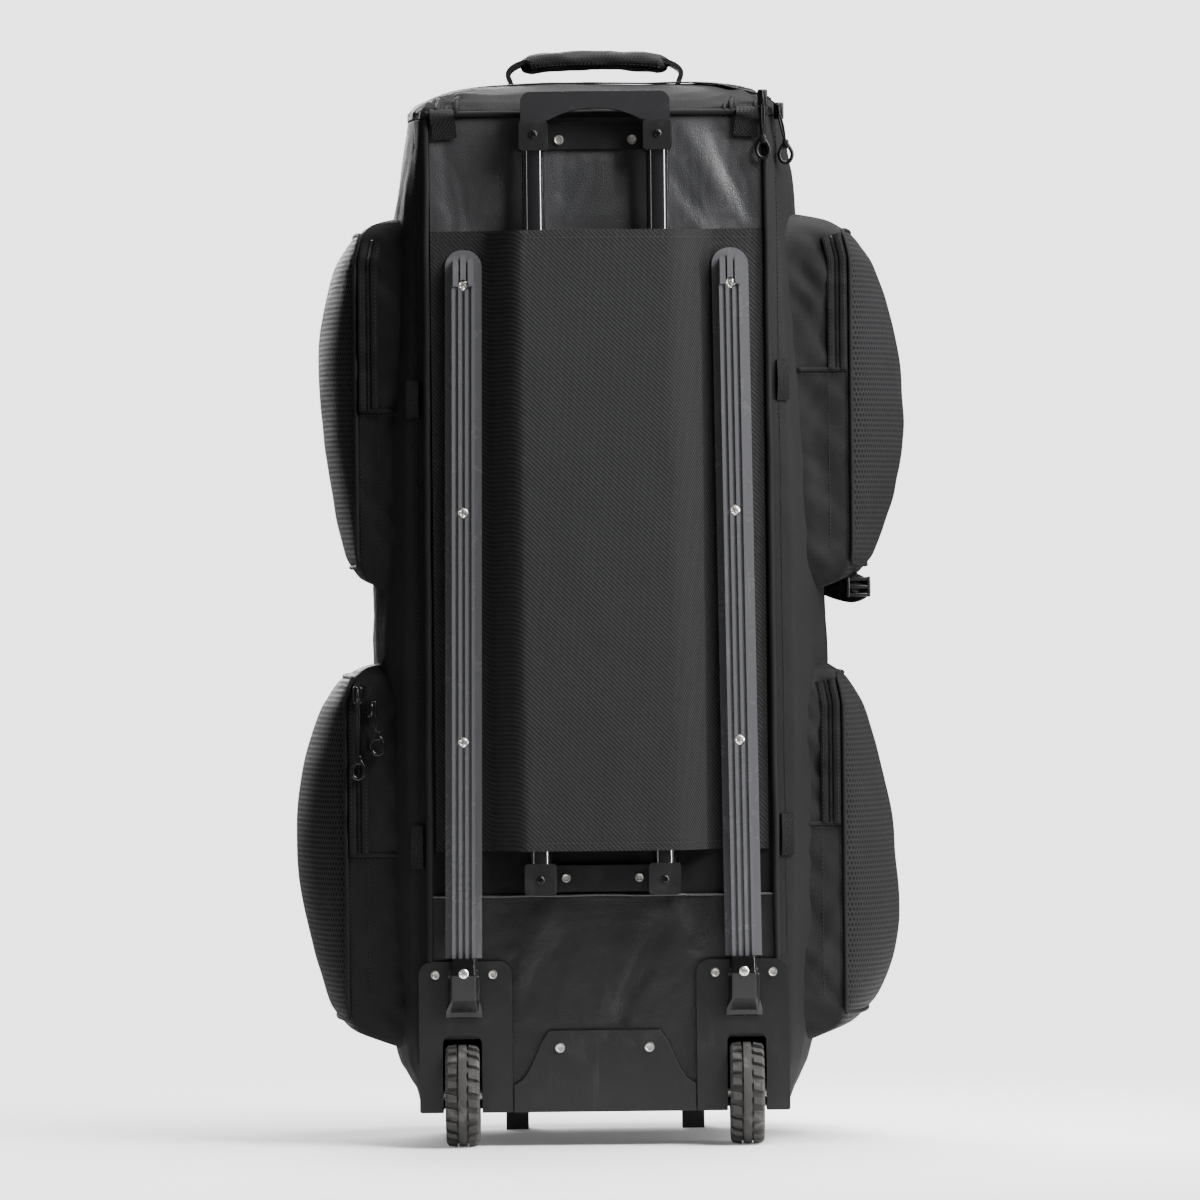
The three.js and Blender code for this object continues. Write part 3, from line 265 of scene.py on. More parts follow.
class Finish:
    """A new material with its Principled shader, ready for detail."""

    def __init__(self, name, roughness, **constants):
        """Makes the material; the constants are inputs of its shader."""
        self.material = bpy.data.materials.new(name)
        self.material.use_nodes = True
        self.tree = self.material.node_tree
        self.shader = self.tree.nodes["Principled BSDF"]
        self.shader.inputs["Roughness"].default_value = roughness
        for socket, value in constants.items():
            self.shader.inputs[socket.replace("_", " ")].default_value = value
        self.place = self.tree.nodes.new("ShaderNodeTexCoord").outputs["Object"]

    def group(self, tree, **values):
        """A shader group placed in this material with its own values; its output sockets."""
        node = self.tree.nodes.new("ShaderNodeGroup")
        node.node_tree = tree
        for socket, value in values.items():
            feed(self.tree, node.inputs[socket.replace("_", " ")], value)
        return node.outputs

    def split(self):
        """The x, y and z of a place on the piece."""
        node = self.tree.nodes.new("ShaderNodeSeparateXYZ")
        self.tree.links.new(self.place, node.inputs[0])
        return node.outputs

    def folds(self, scale, fine_scale, fine_share):
        """Soft folds with their own scales."""
        values = {"Scale": scale, "Fine_Scale": fine_scale, "Fine_Share": fine_share}
        return self.group(soft_folds(), Vector=self.place, **values)

    def wear(self, streak_scale, dust_scale):
        """Streaks and dust with their own scales."""
        return self.group(scuffs(), Vector=self.place, Streak_Scale=streak_scale, Dust_Scale=dust_scale)

    def times(self, socket, share):
        """A share of a value."""
        return maths(self.tree, "MULTIPLY", socket, share)

    def blend(self, factor, first, second):
        """A colour between two colours, or between a socket and a colour."""
        node = self.tree.nodes.new("ShaderNodeMix")
        node.data_type = "RGBA"
        self.tree.links.new(factor, node.inputs["Factor"])
        for name, value in (("A", first), ("B", second)):
            target = next(s for s in node.inputs if s.name == name and s.type == "RGBA")
            feed(self.tree, target, value if isinstance(value, bpy.types.NodeSocket) else (*value, 1.0))
        return next(s for s in node.outputs if s.type == "RGBA")

    def colour(self, socket):
        """Links the finish's colour."""
        self.tree.links.new(socket, self.shader.inputs["Base Color"])

    def rough(self, socket, low, high):
        """Sets the roughness from a 0 to 1 value."""
        self.tree.links.new(stretched(self.tree, socket, To_Min=low, To_Max=high), self.shader.inputs["Roughness"])

    def bump(self, *layers):
        """Stacks bumps, each a height socket and its depth in metres."""
        before = None
        for height, depth in layers:
            node = self.tree.nodes.new("ShaderNodeBump")
            node.inputs["Distance"].default_value = depth
            self.tree.links.new(height, node.inputs["Height"])
            if before is not None:
                self.tree.links.new(before, node.inputs["Normal"])
            before = node.outputs["Normal"]
        self.tree.links.new(before, self.shader.inputs["Normal"])


def scaled(colour, share):
    """A lighter or darker colour."""
    return tuple(channel * share for channel in colour)


def cloth_material(
    name, colour, pitch, depth, run=PLAIN, specular=0.12, flat=False, contrast=1.0, under=1.0, between_yarns=0.12
):
    """Woven cloth: yarns with painted shade between them, soft folds, and an uneven colour that follows the folds,
    painted shade in their hollows and painted light on their crests.
    """
    finish = Finish(name, 0.85, Specular_IOR_Level=specular)
    if flat:
        split = finish.split()
        across, up = split["X"], maths(finish.tree, "ADD", split["Y"], split["Z"])
    else:
        plane = finish.group(cloth_plane(), Vector=finish.place)
        across, up = plane["Across"], plane["Up"]
    weave = finish.group(yarns(), Across=across, Up=up, Pitch=pitch, Run=run, Under=under)["Height"]
    folds = finish.folds(9.0, 420.0, 0.12)
    # Painted shade and light: the colour is darker in the fold hollows and lighter on the crests.
    fold_shade = finish.blend(folds["Fold Shade"], scaled(colour, 0.7 * contrast), scaled(colour, 1.3 * contrast))
    # Painted shade between the yarns: the colour falls to a share of itself where the weave is low.
    finish.colour(finish.blend(weave, scaled(colour, between_yarns / contrast), fold_shade))
    finish.rough(weave, 0.95, 0.62)
    finish.bump((folds["Height"], 1.5 * MM), (weave, depth))
    return finish.material


def honeycomb_material(name, colour, pitch):
    """Pocket cloth with raised six-sided cells over a fine weave, painted shade in the cells, and a colour painted
    darker in the fold hollows and lighter on their crests.
    """
    finish = Finish(name, 0.75, Specular_IOR_Level=0.12)
    plane = finish.group(cloth_plane(), Vector=finish.place)
    across, up = plane["Across"], plane["Up"]
    cells = finish.group(honeycomb(), Across=across, Up=up, Pitch=pitch)["Height"]
    weave = finish.group(yarns(), Across=across, Up=up, Pitch=0.55 * MM, Run=PLAIN)["Height"]
    folds = finish.folds(11.0, 500.0, 0.1)
    # Painted shade and light: the colour is darker in the fold hollows and lighter on the crests.
    fold_shade = finish.blend(folds["Fold Shade"], scaled(colour, 0.75), scaled(colour, 1.25))
    # Painted shade in the cells: the colour falls to 0.3 of itself where the cells sink.
    finish.colour(finish.blend(cells, scaled(colour, 0.3), fold_shade))
    finish.rough(cells, 0.9, 0.55)
    finish.bump((folds["Height"], 1.2 * MM), (cells, 0.7 * MM), (weave, 0.08 * MM))
    return finish.material


def vinyl_material(name, colour, specular):
    """Coated panel: fine pebble grain, soft folds painted darker in their hollows and lighter on their crests as
    painted shade and light, and a little dust.
    """
    finish = Finish(name, 0.42, Specular_IOR_Level=specular)
    folds = finish.folds(7.0, 1300.0, 0.05)
    pebbles = finish.tree.nodes.new("ShaderNodeTexVoronoi")
    pebbles.inputs["Scale"].default_value = 900.0
    finish.tree.links.new(finish.place, pebbles.inputs["Vector"])
    dust = finish.wear(35.0, 14.0)["Dust"]
    # Painted shade and light: the colour is darker in the fold hollows and lighter on the crests.
    fold_shade = finish.blend(folds["Fold Shade"], scaled(colour, 0.75), scaled(colour, 1.3))
    finish.colour(finish.blend(finish.times(dust, 0.25), fold_shade, scaled(colour, 2.6)))
    finish.rough(dust, 0.36, 0.55)
    finish.bump((folds["Height"], 5.0 * MM), (pebbles.outputs["Distance"], 0.12 * MM))
    return finish.material


def plastic_material(name, colour, roughness=0.42, streaked=0.5, dusted=0.3):
    """Moulded plastic: fine texture, scuffed streaks and dust."""
    finish = Finish(name, roughness, Specular_IOR_Level=0.36)
    wear = finish.wear(90.0, 40.0)
    grain = noise_texture(finish.tree, Vector=finish.place, Scale=1500.0)
    scratched = finish.blend(finish.times(wear["Streaks"], streaked), colour, scaled(colour, 3.5))
    finish.colour(finish.blend(finish.times(wear["Dust"], dusted), scratched, scaled(colour, 2.4)))
    finish.rough(wear["Dust"], roughness - 0.06, roughness + 0.2)
    finish.bump((grain.outputs["Fac"], 0.1 * MM), (wear["Streaks"], 0.05 * MM))
    return finish.material


def metal_material(name, colour, roughness):
    """Plated metal with fine turning marks and a few darker spots."""
    finish = Finish(name, roughness, Metallic=1.0)
    wear = finish.wear(300.0, 220.0)
    finish.colour(finish.blend(finish.times(wear["Dust"], 0.6), colour, scaled(colour, 0.35)))
    finish.rough(wear["Dust"], roughness, roughness + 0.25)
    finish.bump((wear["Streaks"], 0.04 * MM))
    return finish.material


def tube_material():
    """Gloss black tube with faint rubbed lines along its length."""
    finish = Finish("tube_gloss", 0.08, Specular_IOR_Level=0.7)
    wear = finish.wear(200.0, 90.0)
    finish.colour(finish.blend(finish.times(wear["Streaks"], 0.35), TUBE_BLACK, TUBE_RUBBED))
    finish.rough(wear["Dust"], 0.07, 0.16)
    return finish.material


def rubber_material(colour):
    """Tyre rubber, greyed by patches of dust."""
    finish = Finish("tyre_rubber", 0.85, Specular_IOR_Level=0.35)
    wear = finish.wear(120.0, 55.0)
    grain = noise_texture(finish.tree, Vector=finish.place, Scale=700.0)
    finish.colour(finish.blend(finish.times(wear["Dust"], 0.8), colour, TYRE_DUST))
    finish.bump((grain.outputs["Fac"], 0.25 * MM))
    return finish.material


def stage_material():
    """Plain pale floor that glows evenly, takes soft shadows and fades out at its edge."""
    finish = Finish("pale_floor", 0.9, Specular_IOR_Level=0.05)
    finish.shader.inputs["Base Color"].default_value = (0.8, 0.8, 0.8, 1.0)
    finish.shader.inputs["Emission Color"].default_value = (1.0, 1.0, 1.0, 1.0)
    finish.shader.inputs["Emission Strength"].default_value = FLOOR_GLOW
    length = finish.tree.nodes.new("ShaderNodeVectorMath")
    length.operation = "LENGTH"
    finish.tree.links.new(finish.place, length.inputs[0])
    fade = finish.tree.nodes.new("ShaderNodeMapRange")
    fade.interpolation_type = "SMOOTHSTEP"
    for socket, value in (("From Min", FLOOR_FADE), ("From Max", FLOOR_RADIUS), ("To Min", 1.0), ("To Max", 0.0)):
        fade.inputs[socket].default_value = value
    finish.tree.links.new(length.outputs["Value"], fade.inputs["Value"])
    finish.tree.links.new(fade.outputs[0], finish.shader.inputs["Alpha"])
    return finish.material


def make_materials():
    """Every finish of the bag, by name."""
    tint, pitch = colours(), sizes()
    cloth, plastic = tuple(tint.cloth), tuple(tint.plastic)
    plain = pitch.plain_pitch
    return {
        "cloth": cloth_material("plain_cloth", scaled(cloth, 0.8), plain, 0.08 * MM, between_yarns=0.6),
        # The lid's cloth is the body's cloth painted darker, 0.65 against 0.8 of the cloth colour, as painted shade on
        # the top against the light from above.
        "lid": cloth_material("lid_cloth_painted_darker", scaled(cloth, 0.65), plain, 0.1 * MM, flat=True, between_yarns=0.6),
        "sleeve": cloth_material(
            "ballistic_cloth", tuple(tint.sleeve), pitch.ballistic_pitch, 1.1 * MM,
            run=DIAGONAL, specular=0.3, flat=True, contrast=1.35, under=0.3,
        ),
        "webbing": cloth_material("webbing", scaled(cloth, 0.9), 1.6 * MM, 0.4 * MM),
        "wrap": cloth_material("wrap_cloth", scaled(cloth, 1.6), 1.5 * MM, 0.4 * MM),
        "zip": cloth_material("zip_tape", scaled(cloth, 0.8), 0.7 * MM, 0.15 * MM),
        "pocket": honeycomb_material("honeycomb_cloth", tuple(tint.pocket), pitch.honeycomb_pitch),
        # One vinyl in two copies: the upper copy painted 2.5 times the vinyl colour as painted light, the lower copy
        # 0.5 times as painted shade.
        "vinyl": vinyl_material("vinyl_painted_light", scaled(tint.vinyl, 2.5), 0.6),
        "shaded_vinyl": vinyl_material("vinyl_painted_shade", scaled(tint.vinyl, 0.5), 0.36),
        "plastic": plastic_material("moulded_plastic", plastic),
        "rail": plastic_material("rail_plastic", scaled(plastic, 12.5), 0.28, 0.15, 0.08),
        "grip": plastic_material("grip_plastic", scaled(plastic, 2.8), 0.2, 0.3, 0.1),
        "gloss_plastic": plastic_material("smooth_plastic", scaled(plastic, 0.6), 0.22, 0.2, 0.1),
        "coil": plastic_material("zip_coil", scaled(plastic, 2.5), 0.4),
        "thread": plastic_material("thread", scaled(plastic, 1.6), 0.55),
        "metal": metal_material("plated_metal", tuple(tint.metal), 0.32),
        "dark_metal": metal_material("blackened_metal", BLACKENED, 0.4),
        "tube": tube_material(),
        "rubber": rubber_material(tuple(tint.rubber)),
    }


FINISHES = {}


# Making and finishing meshes


def only(obj):
    """Selects one object alone and makes it active."""
    bpy.ops.object.select_all(action="DESELECT")
    obj.select_set(True)
    bpy.context.view_layer.objects.active = obj


def settle(obj):
    """Puts a piece's place into its mesh and applies its modifiers."""
    only(obj)
    bpy.ops.object.transform_apply(location=True, rotation=True, scale=True)
    for modifier in list(obj.modifiers):
        bpy.ops.object.modifier_apply(modifier=modifier.name)


def finish_piece(obj, name, finish, body="body", replaced=(), smooth=40.0):
    """Names a piece, gives it its finish and hands it to the frame."""
    settle(obj)
    obj.name = name
    obj.data.name = name
    if smooth:
        only(obj)
        bpy.ops.object.shade_smooth_by_angle(angle=math.radians(smooth))
    if finish:
        obj.data.materials.clear()
        obj.data.materials.append(FINISHES[finish])
    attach(obj, body)
    if replaced:
        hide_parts(*replaced)
    return obj


def in_edit(obj, *steps):
    """Runs mesh steps, each an operator's name and its options, on all of an object."""
    only(obj)
    bpy.ops.object.mode_set(mode="EDIT")
    bpy.ops.mesh.select_all(action="SELECT")
    for step, options in steps:
        getattr(bpy.ops.mesh, step)(**options)
    bpy.ops.object.mode_set(mode="OBJECT")


def outward(obj):
    """Points every face of a closed mesh outward."""
    merge = ("remove_doubles", {"threshold": CLOSED_WITHIN})
    in_edit(obj, merge, ("normals_make_consistent", {"inside": False}))


def copy_of(node):
    """A merged copy of a CAD node, its triangles paired into quads."""
    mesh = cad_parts[node].data.copy()
    obj = bpy.data.objects.new(node + "_copy", mesh)
    bpy.context.scene.collection.objects.link(obj)
    mesh.materials.clear()
    paired = {"face_threshold": math.radians(60), "shape_threshold": math.radians(60)}
    in_edit(obj, ("remove_doubles", {"threshold": SAME_PLACE}), ("tris_convert_to_quads", paired))
    return obj


def refine(obj, levels, rounds):
    """Splits a copy finely and relaxes it, which rounds its facets and keeps its size."""
    split = obj.modifiers.new("Split", "SUBSURF")
    split.subdivision_type = "SIMPLE"
    split.levels = split.render_levels = levels
    relax = obj.modifiers.new("Relax", "SMOOTH")
    relax.factor = 0.5
    relax.iterations = rounds
    settle(obj)


def crumple(obj, depth, scale, seed, keep=None):
    """Moves each vertex along its normal by ridged noise; keep gives the share at a place."""
    mesh = obj.data
    offset = Vector((seed * 7.3, seed * 3.1, seed * 5.7))
    moves = []
    for vertex in mesh.vertices:
        place = vertex.co
        share = 1.0 if keep is None else keep(place)
        if share <= 0.0:
            moves.append(None)
            continue
        value = noise.noise((place + offset) * scale) + 0.5 * noise.noise((place + offset) * scale * 2.3)
        moves.append(vertex.normal * (value * depth * share))
    for vertex, move in zip(mesh.vertices, moves):
        if move is not None:
            vertex.co += move


def cloth_grid(name, rows, paint_at=None):
    """A grid whose points follow the given rows of places; paint_at gives the finish of a face."""
    count_up, count_across = len(rows), len(rows[0])
    bpy.ops.object.select_all(action="DESELECT")
    bpy.ops.mesh.primitive_grid_add(x_subdivisions=count_across - 1, y_subdivisions=count_up - 1, size=1.0)
    obj = bpy.context.active_object
    obj.name = name
    if paint_at:
        for polygon in obj.data.polygons:
            column = int((polygon.center.x + 0.5) * (count_across - 1))
            row = int((polygon.center.y + 0.5) * (count_up - 1))
            polygon.material_index = paint_at(row, column)
    for vertex in obj.data.vertices:
        column = round((vertex.co.x + 0.5) * (count_across - 1))
        row = round((vertex.co.y + 0.5) * (count_up - 1))
        vertex.co = rows[row][column]
    return obj


def face_way(obj, way):
    """Turns an open sheet so that its faces look, on the whole, along a direction."""
    total = sum((polygon.normal * polygon.area for polygon in obj.data.polygons), Vector())
    if total.dot(Vector(way)) < 0:
        in_edit(obj, ("flip_normals", {}))


def thicken(obj, thickness, offset=-1.0):
    """Gives a sheet its wall."""
    modifier = obj.modifiers.new("Wall", "SOLIDIFY")
    modifier.thickness = thickness
    modifier.offset = offset
    modifier.use_even_offset = False
    settle(obj)


def cord_along(name, points, radius, closed=False, sides=2):
    """A round cord through points, as a mesh with closed ends."""
    curve = bpy.data.curves.new(name, "CURVE")
    curve.dimensions = "3D"
    curve.bevel_depth = radius
    curve.bevel_resolution = sides
    curve.use_fill_caps = True
    spline = curve.splines.new("POLY")
    spline.points.add(len(points) - 1)
    for point, place in zip(spline.points, points):
        point.co = (*place, 1.0)
    spline.use_cyclic_u = closed
    obj = bpy.data.objects.new(name, curve)
    bpy.context.scene.collection.objects.link(obj)
    only(obj)
    bpy.ops.object.convert(target="MESH")
    made = bpy.context.active_object
    outward(made)
    return made


def block(low, high, bevel):
    """A box between two corners with rounded edges."""
    low, high = Vector(low), Vector(high)
    bpy.ops.object.select_all(action="DESELECT")
    bpy.ops.mesh.primitive_cube_add(size=1.0, location=(low + high) / 2)
    obj = bpy.context.active_object
    obj.scale = high - low
    settle(obj)
    in_edit(obj, ("bevel", {"offset": bevel, "segments": 2, "affect": "EDGES"}))
    return obj


def joined(objects):
    """Several meshes as one object."""
    bpy.ops.object.select_all(action="DESELECT")
    for obj in objects:
        obj.select_set(True)
    bpy.context.view_layer.objects.active = objects[0]
    if len(objects) > 1:
        bpy.ops.object.join()
    return bpy.context.active_object


def repeated(name, template, places):
    """One mesh that holds a small shape at many places, each a matrix."""
    corners, faces = template
    points, polygons = [], []
    for matrix in places:
        start = len(points)
        points.extend(matrix @ Vector(corner) for corner in corners)
        polygons.extend(tuple(start + i for i in face) for face in faces)
    mesh = bpy.data.meshes.new(name)
    mesh.from_pydata(points, [], polygons)
    obj = bpy.data.objects.new(name, mesh)
    bpy.context.scene.collection.objects.link(obj)
    return obj


def lozenge(length, half_width, height):
    """A small pointed grain along x, flat on its underside."""
    corners = [
        (-length / 2, 0, 0),
        (0, -half_width, 0),
        (length / 2, 0, 0),
        (0, half_width, 0),
        (-length / 4, 0, height),
        (length / 4, 0, height),
    ]
    faces = [(0, 1, 4), (1, 5, 4), (1, 2, 5), (2, 3, 5), (3, 4, 5), (3, 0, 4), (0, 3, 2, 1)]
    return corners, faces


def placed(place, along, out):
    """A matrix at a place, its x along a line and its z out of the surface."""
    x = Vector(along).normalized()
    z = (Vector(out) - x * Vector(out).dot(x)).normalized()
    y = z.cross(x)
    matrix = Matrix((x, y, z)).transposed().to_4x4()
    matrix.translation = place
    return matrix


def walk(points, pitch):
    """Even places along a line of points, each with its direction."""
    result = []
    carried = 0.0
    for start, stop in zip(points, points[1:]):
        start, stop = Vector(start), Vector(stop)
        length = (stop - start).length
        if length < 1e-9:
            continue
        along = (stop - start) / length
        at = -carried
        while at + pitch <= length:
            at += pitch
            result.append((start + along * at, along))
        carried = length - at
    return result


def outward_at(out, place):
    """The way a surface faces at a place; out is that way, or a function that gives it."""
    return Vector(out(place) if callable(out) else out)


def stitch_line(name, points, out):
    """A row of small raised stitches along a line on a surface that faces out."""
    pitch = sizes().stitch_pitch
    grain = lozenge(pitch * 0.72, 0.42 * MM, 0.38 * MM)
    return repeated(name, grain, [placed(place, along, outward_at(out, place)) for place, along in walk(points, pitch)])


TREES = {}


def tree_of(name):
    """The search tree of a CAD node, or of a piece that has been made, kept for the next search."""
    if name not in TREES:
        mesh = (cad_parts[name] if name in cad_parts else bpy.data.objects[name]).data
        corners = [vertex.co.copy() for vertex in mesh.vertices]
        TREES[name] = BVHTree.FromPolygons(corners, [tuple(p.vertices) for p in mesh.polygons])
    return TREES[name]


def spread(points, count):
    """The same line with its points evenly spaced."""
    lengths = [0.0]
    for start, stop in zip(points, points[1:]):
        lengths.append(lengths[-1] + (stop - start).length)
    result = []
    at = 0
    for step in range(count):
        target = lengths[-1] * step / (count - 1)
        while at < len(points) - 2 and lengths[at + 1] < target:
            at += 1
        span = lengths[at + 1] - lengths[at]
        share = (target - lengths[at]) / span if span > 0 else 0.0
        result.append(points[at].lerp(points[at + 1], min(1.0, share)))
    return result


# Body and lid

FREE_OFF_BACK, FREE_BELOW_TOP, FREE_OFF_BASE = 25 * MM, 20 * MM, 15 * MM
LID_FREE = 8 * MM
GATHER_X, GATHER_Y = 135 * MM, 12 * MM
GATHER_WIDE, GATHER_DEEP = 24 * MM, 30 * MM


def clamp(value):
    """A value held between 0 and 1."""
    return min(1.0, max(0.0, value))


def bump_share(distance, reach):
    """A smooth bump: 1 at its middle, near nothing past twice its reach."""
    return math.exp(-((distance / reach) ** 2))


def make_body():
    """The sewn body: the frame's shell, refined and creased."""
    shell = copy_of("main_shell")
    refine(shell, 3, 7)

    def loose(place):
        """Cloth is free on the sides and front, and held flat on the back."""
        off_back = clamp((place.y - BACK_Y) / FREE_OFF_BACK)
        below_top = clamp((BODY_HIGH.z - place.z) / FREE_BELOW_TOP)
        return off_back * below_top * clamp((place.z - BODY_LOW.z) / FREE_OFF_BASE)

    crumple(shell, sizes().crease * 1.6, 9.0, 1, loose)
    crumple(shell, sizes().crease * 0.5, 34.0, 2, loose)
    finish_piece(shell, "sewn_body", "cloth", replaced=("main_shell",), smooth=60)


def make_lid():
    """The crowned top, gathered at its back corners."""
    lid = copy_of("top_lid")
    refine(lid, 3, 5)
    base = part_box("top_lid")[0].z

    def loose(place):
        """Cloth is held at the lid's seam."""
        return clamp((place.z - base) / LID_FREE)

    def corners(place):
        """Strongest where the edge turns a back corner."""
        near = bump_share(abs(place.x) - GATHER_X, GATHER_WIDE) * bump_share(place.y - BACK_Y - GATHER_Y, GATHER_DEEP)
        return near * loose(place)

    crumple(lid, sizes().crease * 0.7, 16.0, 3, loose)
    crumple(lid, sizes().crease * 1.3, 85.0, 4, corners)
    # The lid takes the cloth painted darker, as painted shade.
    finish_piece(lid, "crowned_lid", "lid", replaced=("top_lid",), smooth=60)


# Back panels

PANEL_WALL = 1.2 * MM
PANEL_COLUMNS, UPPER_ROWS, LOWER_ROWS = 150, 56, 96
PANEL_EDGE = 14 * MM
PRESSED = 8 * MM
DEEPEST = 0.9 * MM
WELL_MARGIN = 5 * MM


def panel_rows(low, high, rows, depth_at):
    """Rows of places of a panel on the back, standing out by depth_at(x, z)."""
    result = []
    for row in range(rows):
        z = low.z + (high.z - low.z) * row / (rows - 1)
        line = []
        for column in range(PANEL_COLUMNS):
            x = low.x + (high.x - low.x) * column / (PANEL_COLUMNS - 1)
            line.append(Vector((x, -depth_at(x, z), z)))
        result.append(line)
    return result


def crease(x, z, at, slope, reach, depth, span):
    """One long soft crease that crosses a panel: at gives its place, slope its lean, span its ends in z."""
    off = (x - at[0]) - slope * (z - at[1])
    fade = bump_share((z - (span[0] + span[1]) / 2), (span[1] - span[0]) / 1.6)
    return depth * MM * bump_share(off, reach) * fade


UPPER_CREASES = (
    {"at": (-0.085, 0.86), "slope": 0.12, "reach": 0.016, "depth": 1.6, "span": (0.79, 0.92)},
    {"at": (-0.125, 0.83), "slope": -0.25, "reach": 0.012, "depth": -1.2, "span": (0.78, 0.90)},
    {"at": (0.0, 0.83), "slope": 0.05, "reach": 0.02, "depth": 1.1, "span": (0.78, 0.87)},
    {"at": (0.098, 0.85), "slope": -0.55, "reach": 0.012, "depth": 1.5, "span": (0.79, 0.90)},
    {"at": (0.12, 0.85), "slope": -0.45, "reach": 0.01, "depth": -1.3, "span": (0.79, 0.90)},
    {"at": (0.085, 0.82), "slope": -0.7, "reach": 0.009, "depth": -0.9, "span": (0.78, 0.86)},
)

LOWER_CREASES = (
    {"at": (-0.07, 0.16), "slope": 0.5, "reach": 0.014, "depth": 1.6, "span": (0.10, 0.22)},
    {"at": (-0.02, 0.17), "slope": -0.35, "reach": 0.016, "depth": 1.3, "span": (0.10, 0.22)},
    {"at": (0.03, 0.15), "slope": 0.45, "reach": 0.012, "depth": -1.3, "span": (0.09, 0.21)},
    {"at": (0.08, 0.17), "slope": -0.6, "reach": 0.012, "depth": 1.5, "span": (0.10, 0.22)},
    {"at": (-0.135, 0.19), "slope": 0.3, "reach": 0.01, "depth": 1.0, "span": (0.16, 0.22)},
    {"at": (0.135, 0.19), "slope": -0.3, "reach": 0.01, "depth": 1.0, "span": (0.16, 0.22)},
)


def edge_share(x, z, low, high, reach):
    """Falls to nothing at an area's edges."""
    return clamp(min(x - low.x, high.x - x, z - low.z, high.z - z) / reach)


def pressed(node, base, above):
    """The area of a panel that a fitting presses flat, from a base up to above the fitting."""
    low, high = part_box(node)
    return Vector((low.x - PRESSED, 0, base - PRESSED)), Vector((high.x + PRESSED, 0, high.z + above))


def creased_panel(node, creases, held, rows, name):
    """A vinyl panel with its creases, pressed flat where a fitting holds it."""
    low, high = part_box(node)

    def depth_at(x, z):
        """How far the vinyl stands out at a place."""
        total = sum(crease(x, z, **row) for row in creases)
        total += 0.5 * MM * noise.noise(Vector((x * 30, z * 30, len(name))))
        free = edge_share(x, z, low, high, PANEL_EDGE)
        for held_low, held_high in held:
            free *= 1.0 - edge_share(x, z, held_low, held_high, PRESSED)
        return -high.y + PANEL_WALL + max(-DEEPEST, total) * free

    panel = cloth_grid(name, panel_rows(low, high, rows, depth_at))
    face_way(panel, BACKWARD)
    return panel


def make_vinyl():
    """Upper and lower coated panels, with the stitched hem of the lower one; the upper panel takes the vinyl painted
    lighter and the lower the vinyl painted darker, as painted light and shade.
    """
    held = [pressed("upper_bracket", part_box("upper_bracket")[0].z, 3 * PRESSED)]
    upper = creased_panel("back_panel_upper", UPPER_CREASES, held, UPPER_ROWS, "vinyl_upper")
    thicken(upper, PANEL_WALL)
    # The upper panel takes the vinyl painted lighter, as painted light.
    finish_piece(upper, "vinyl_upper", "vinyl", replaced=("back_panel_upper",), smooth=60)
    low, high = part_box("back_panel_lower")
    fittings = ("kick_plate", "wheel_housing_left", "wheel_housing_right")
    held = [pressed(node, low.z, PRESSED) for node in fittings]
    lower = creased_panel("back_panel_lower", LOWER_CREASES, held, LOWER_ROWS, "vinyl_lower")
    trim_wells(lower)
    thicken(lower, PANEL_WALL)
    # The lower panel takes the vinyl painted darker, as painted shade.
    finish_piece(lower, "vinyl_lower", "shaded_vinyl", replaced=("back_panel_lower",), smooth=60)
    wavy_hem(low, high)


def trim_wells(panel):
    """Takes away the part of a panel that the wheel wells stand in."""
    mesh = bmesh.new()
    mesh.from_mesh(panel.data)
    for side in ("left", "right"):
        low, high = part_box("tyre_" + side)
        inside = []
        for face in mesh.faces:
            centre = face.calc_center_median()
            if low.x - WELL_MARGIN < centre.x < high.x + WELL_MARGIN and centre.z < high.z + WELL_MARGIN:
                inside.append(face)
        bmesh.ops.delete(mesh, geom=inside, context="FACES")
    mesh.to_mesh(panel.data)
    mesh.free()


HEM_STEPS = 120


def wavy_hem(low, high):
    """The folded, stitched top edge of the lower vinyl."""
    edge, seam = [], []
    for step in range(HEM_STEPS + 1):
        x = low.x + (high.x - low.x) * step / HEM_STEPS
        top = high.z + 0.9 * MM * noise.noise(Vector((x * 28, 1.7, 0.0)))
        edge.append(Vector((x, low.y - 0.5 * MM, top - 1.2 * MM)))
        seam.append(Vector((x, low.y - 0.1 * MM, top - 8 * MM)))
    # The hem takes the vinyl painted lighter, as painted light.
    finish_piece(cord_along("vinyl_hem", edge, 1.1 * MM), "vinyl_hem", "vinyl", smooth=60)
    stitches = stitch_line("hem_stitches", seam, BACKWARD)
    finish_piece(stitches, "vinyl_hem_stitches", "thread", smooth=0)


# Woven sleeve

SLEEVE_COLUMNS, SLEEVE_ROWS = 180, 240
SLEEVE_WALL = 1.6 * MM
SLEEVE_HEM = 7 * MM
SLEEVE_EASED = 10
TENT_LOW, TENT_RISE = 4 * MM, 20 * MM


def sleeve_depths(low, high):
    """Heights of the sleeve's rows with the depth of the cloth at each column, evened across."""
    tree = tree_of("trolley_sleeve")
    grid = []
    for row in range(SLEEVE_ROWS):
        z = low.z + (high.z - low.z) * row / (SLEEVE_ROWS - 1)
        probe = min(high.z - 0.5 * MM, max(low.z + 0.5 * MM, z))
        line = []
        for column in range(SLEEVE_COLUMNS):
            x = low.x + (high.x - low.x) * column / (SLEEVE_COLUMNS - 1)
            inside = min(high.x - 0.2 * MM, max(low.x + 0.2 * MM, x))
            line.append(tree.ray_cast(Vector((inside, -1.0, probe)), Vector((0, 1, 0)))[0].y)
        for _ in range(SLEEVE_EASED):
            line[1:-1] = [(a + 2 * b + c) / 4 for a, b, c in zip(line, line[1:], line[2:])]
        grid.append((z, line))
    return grid


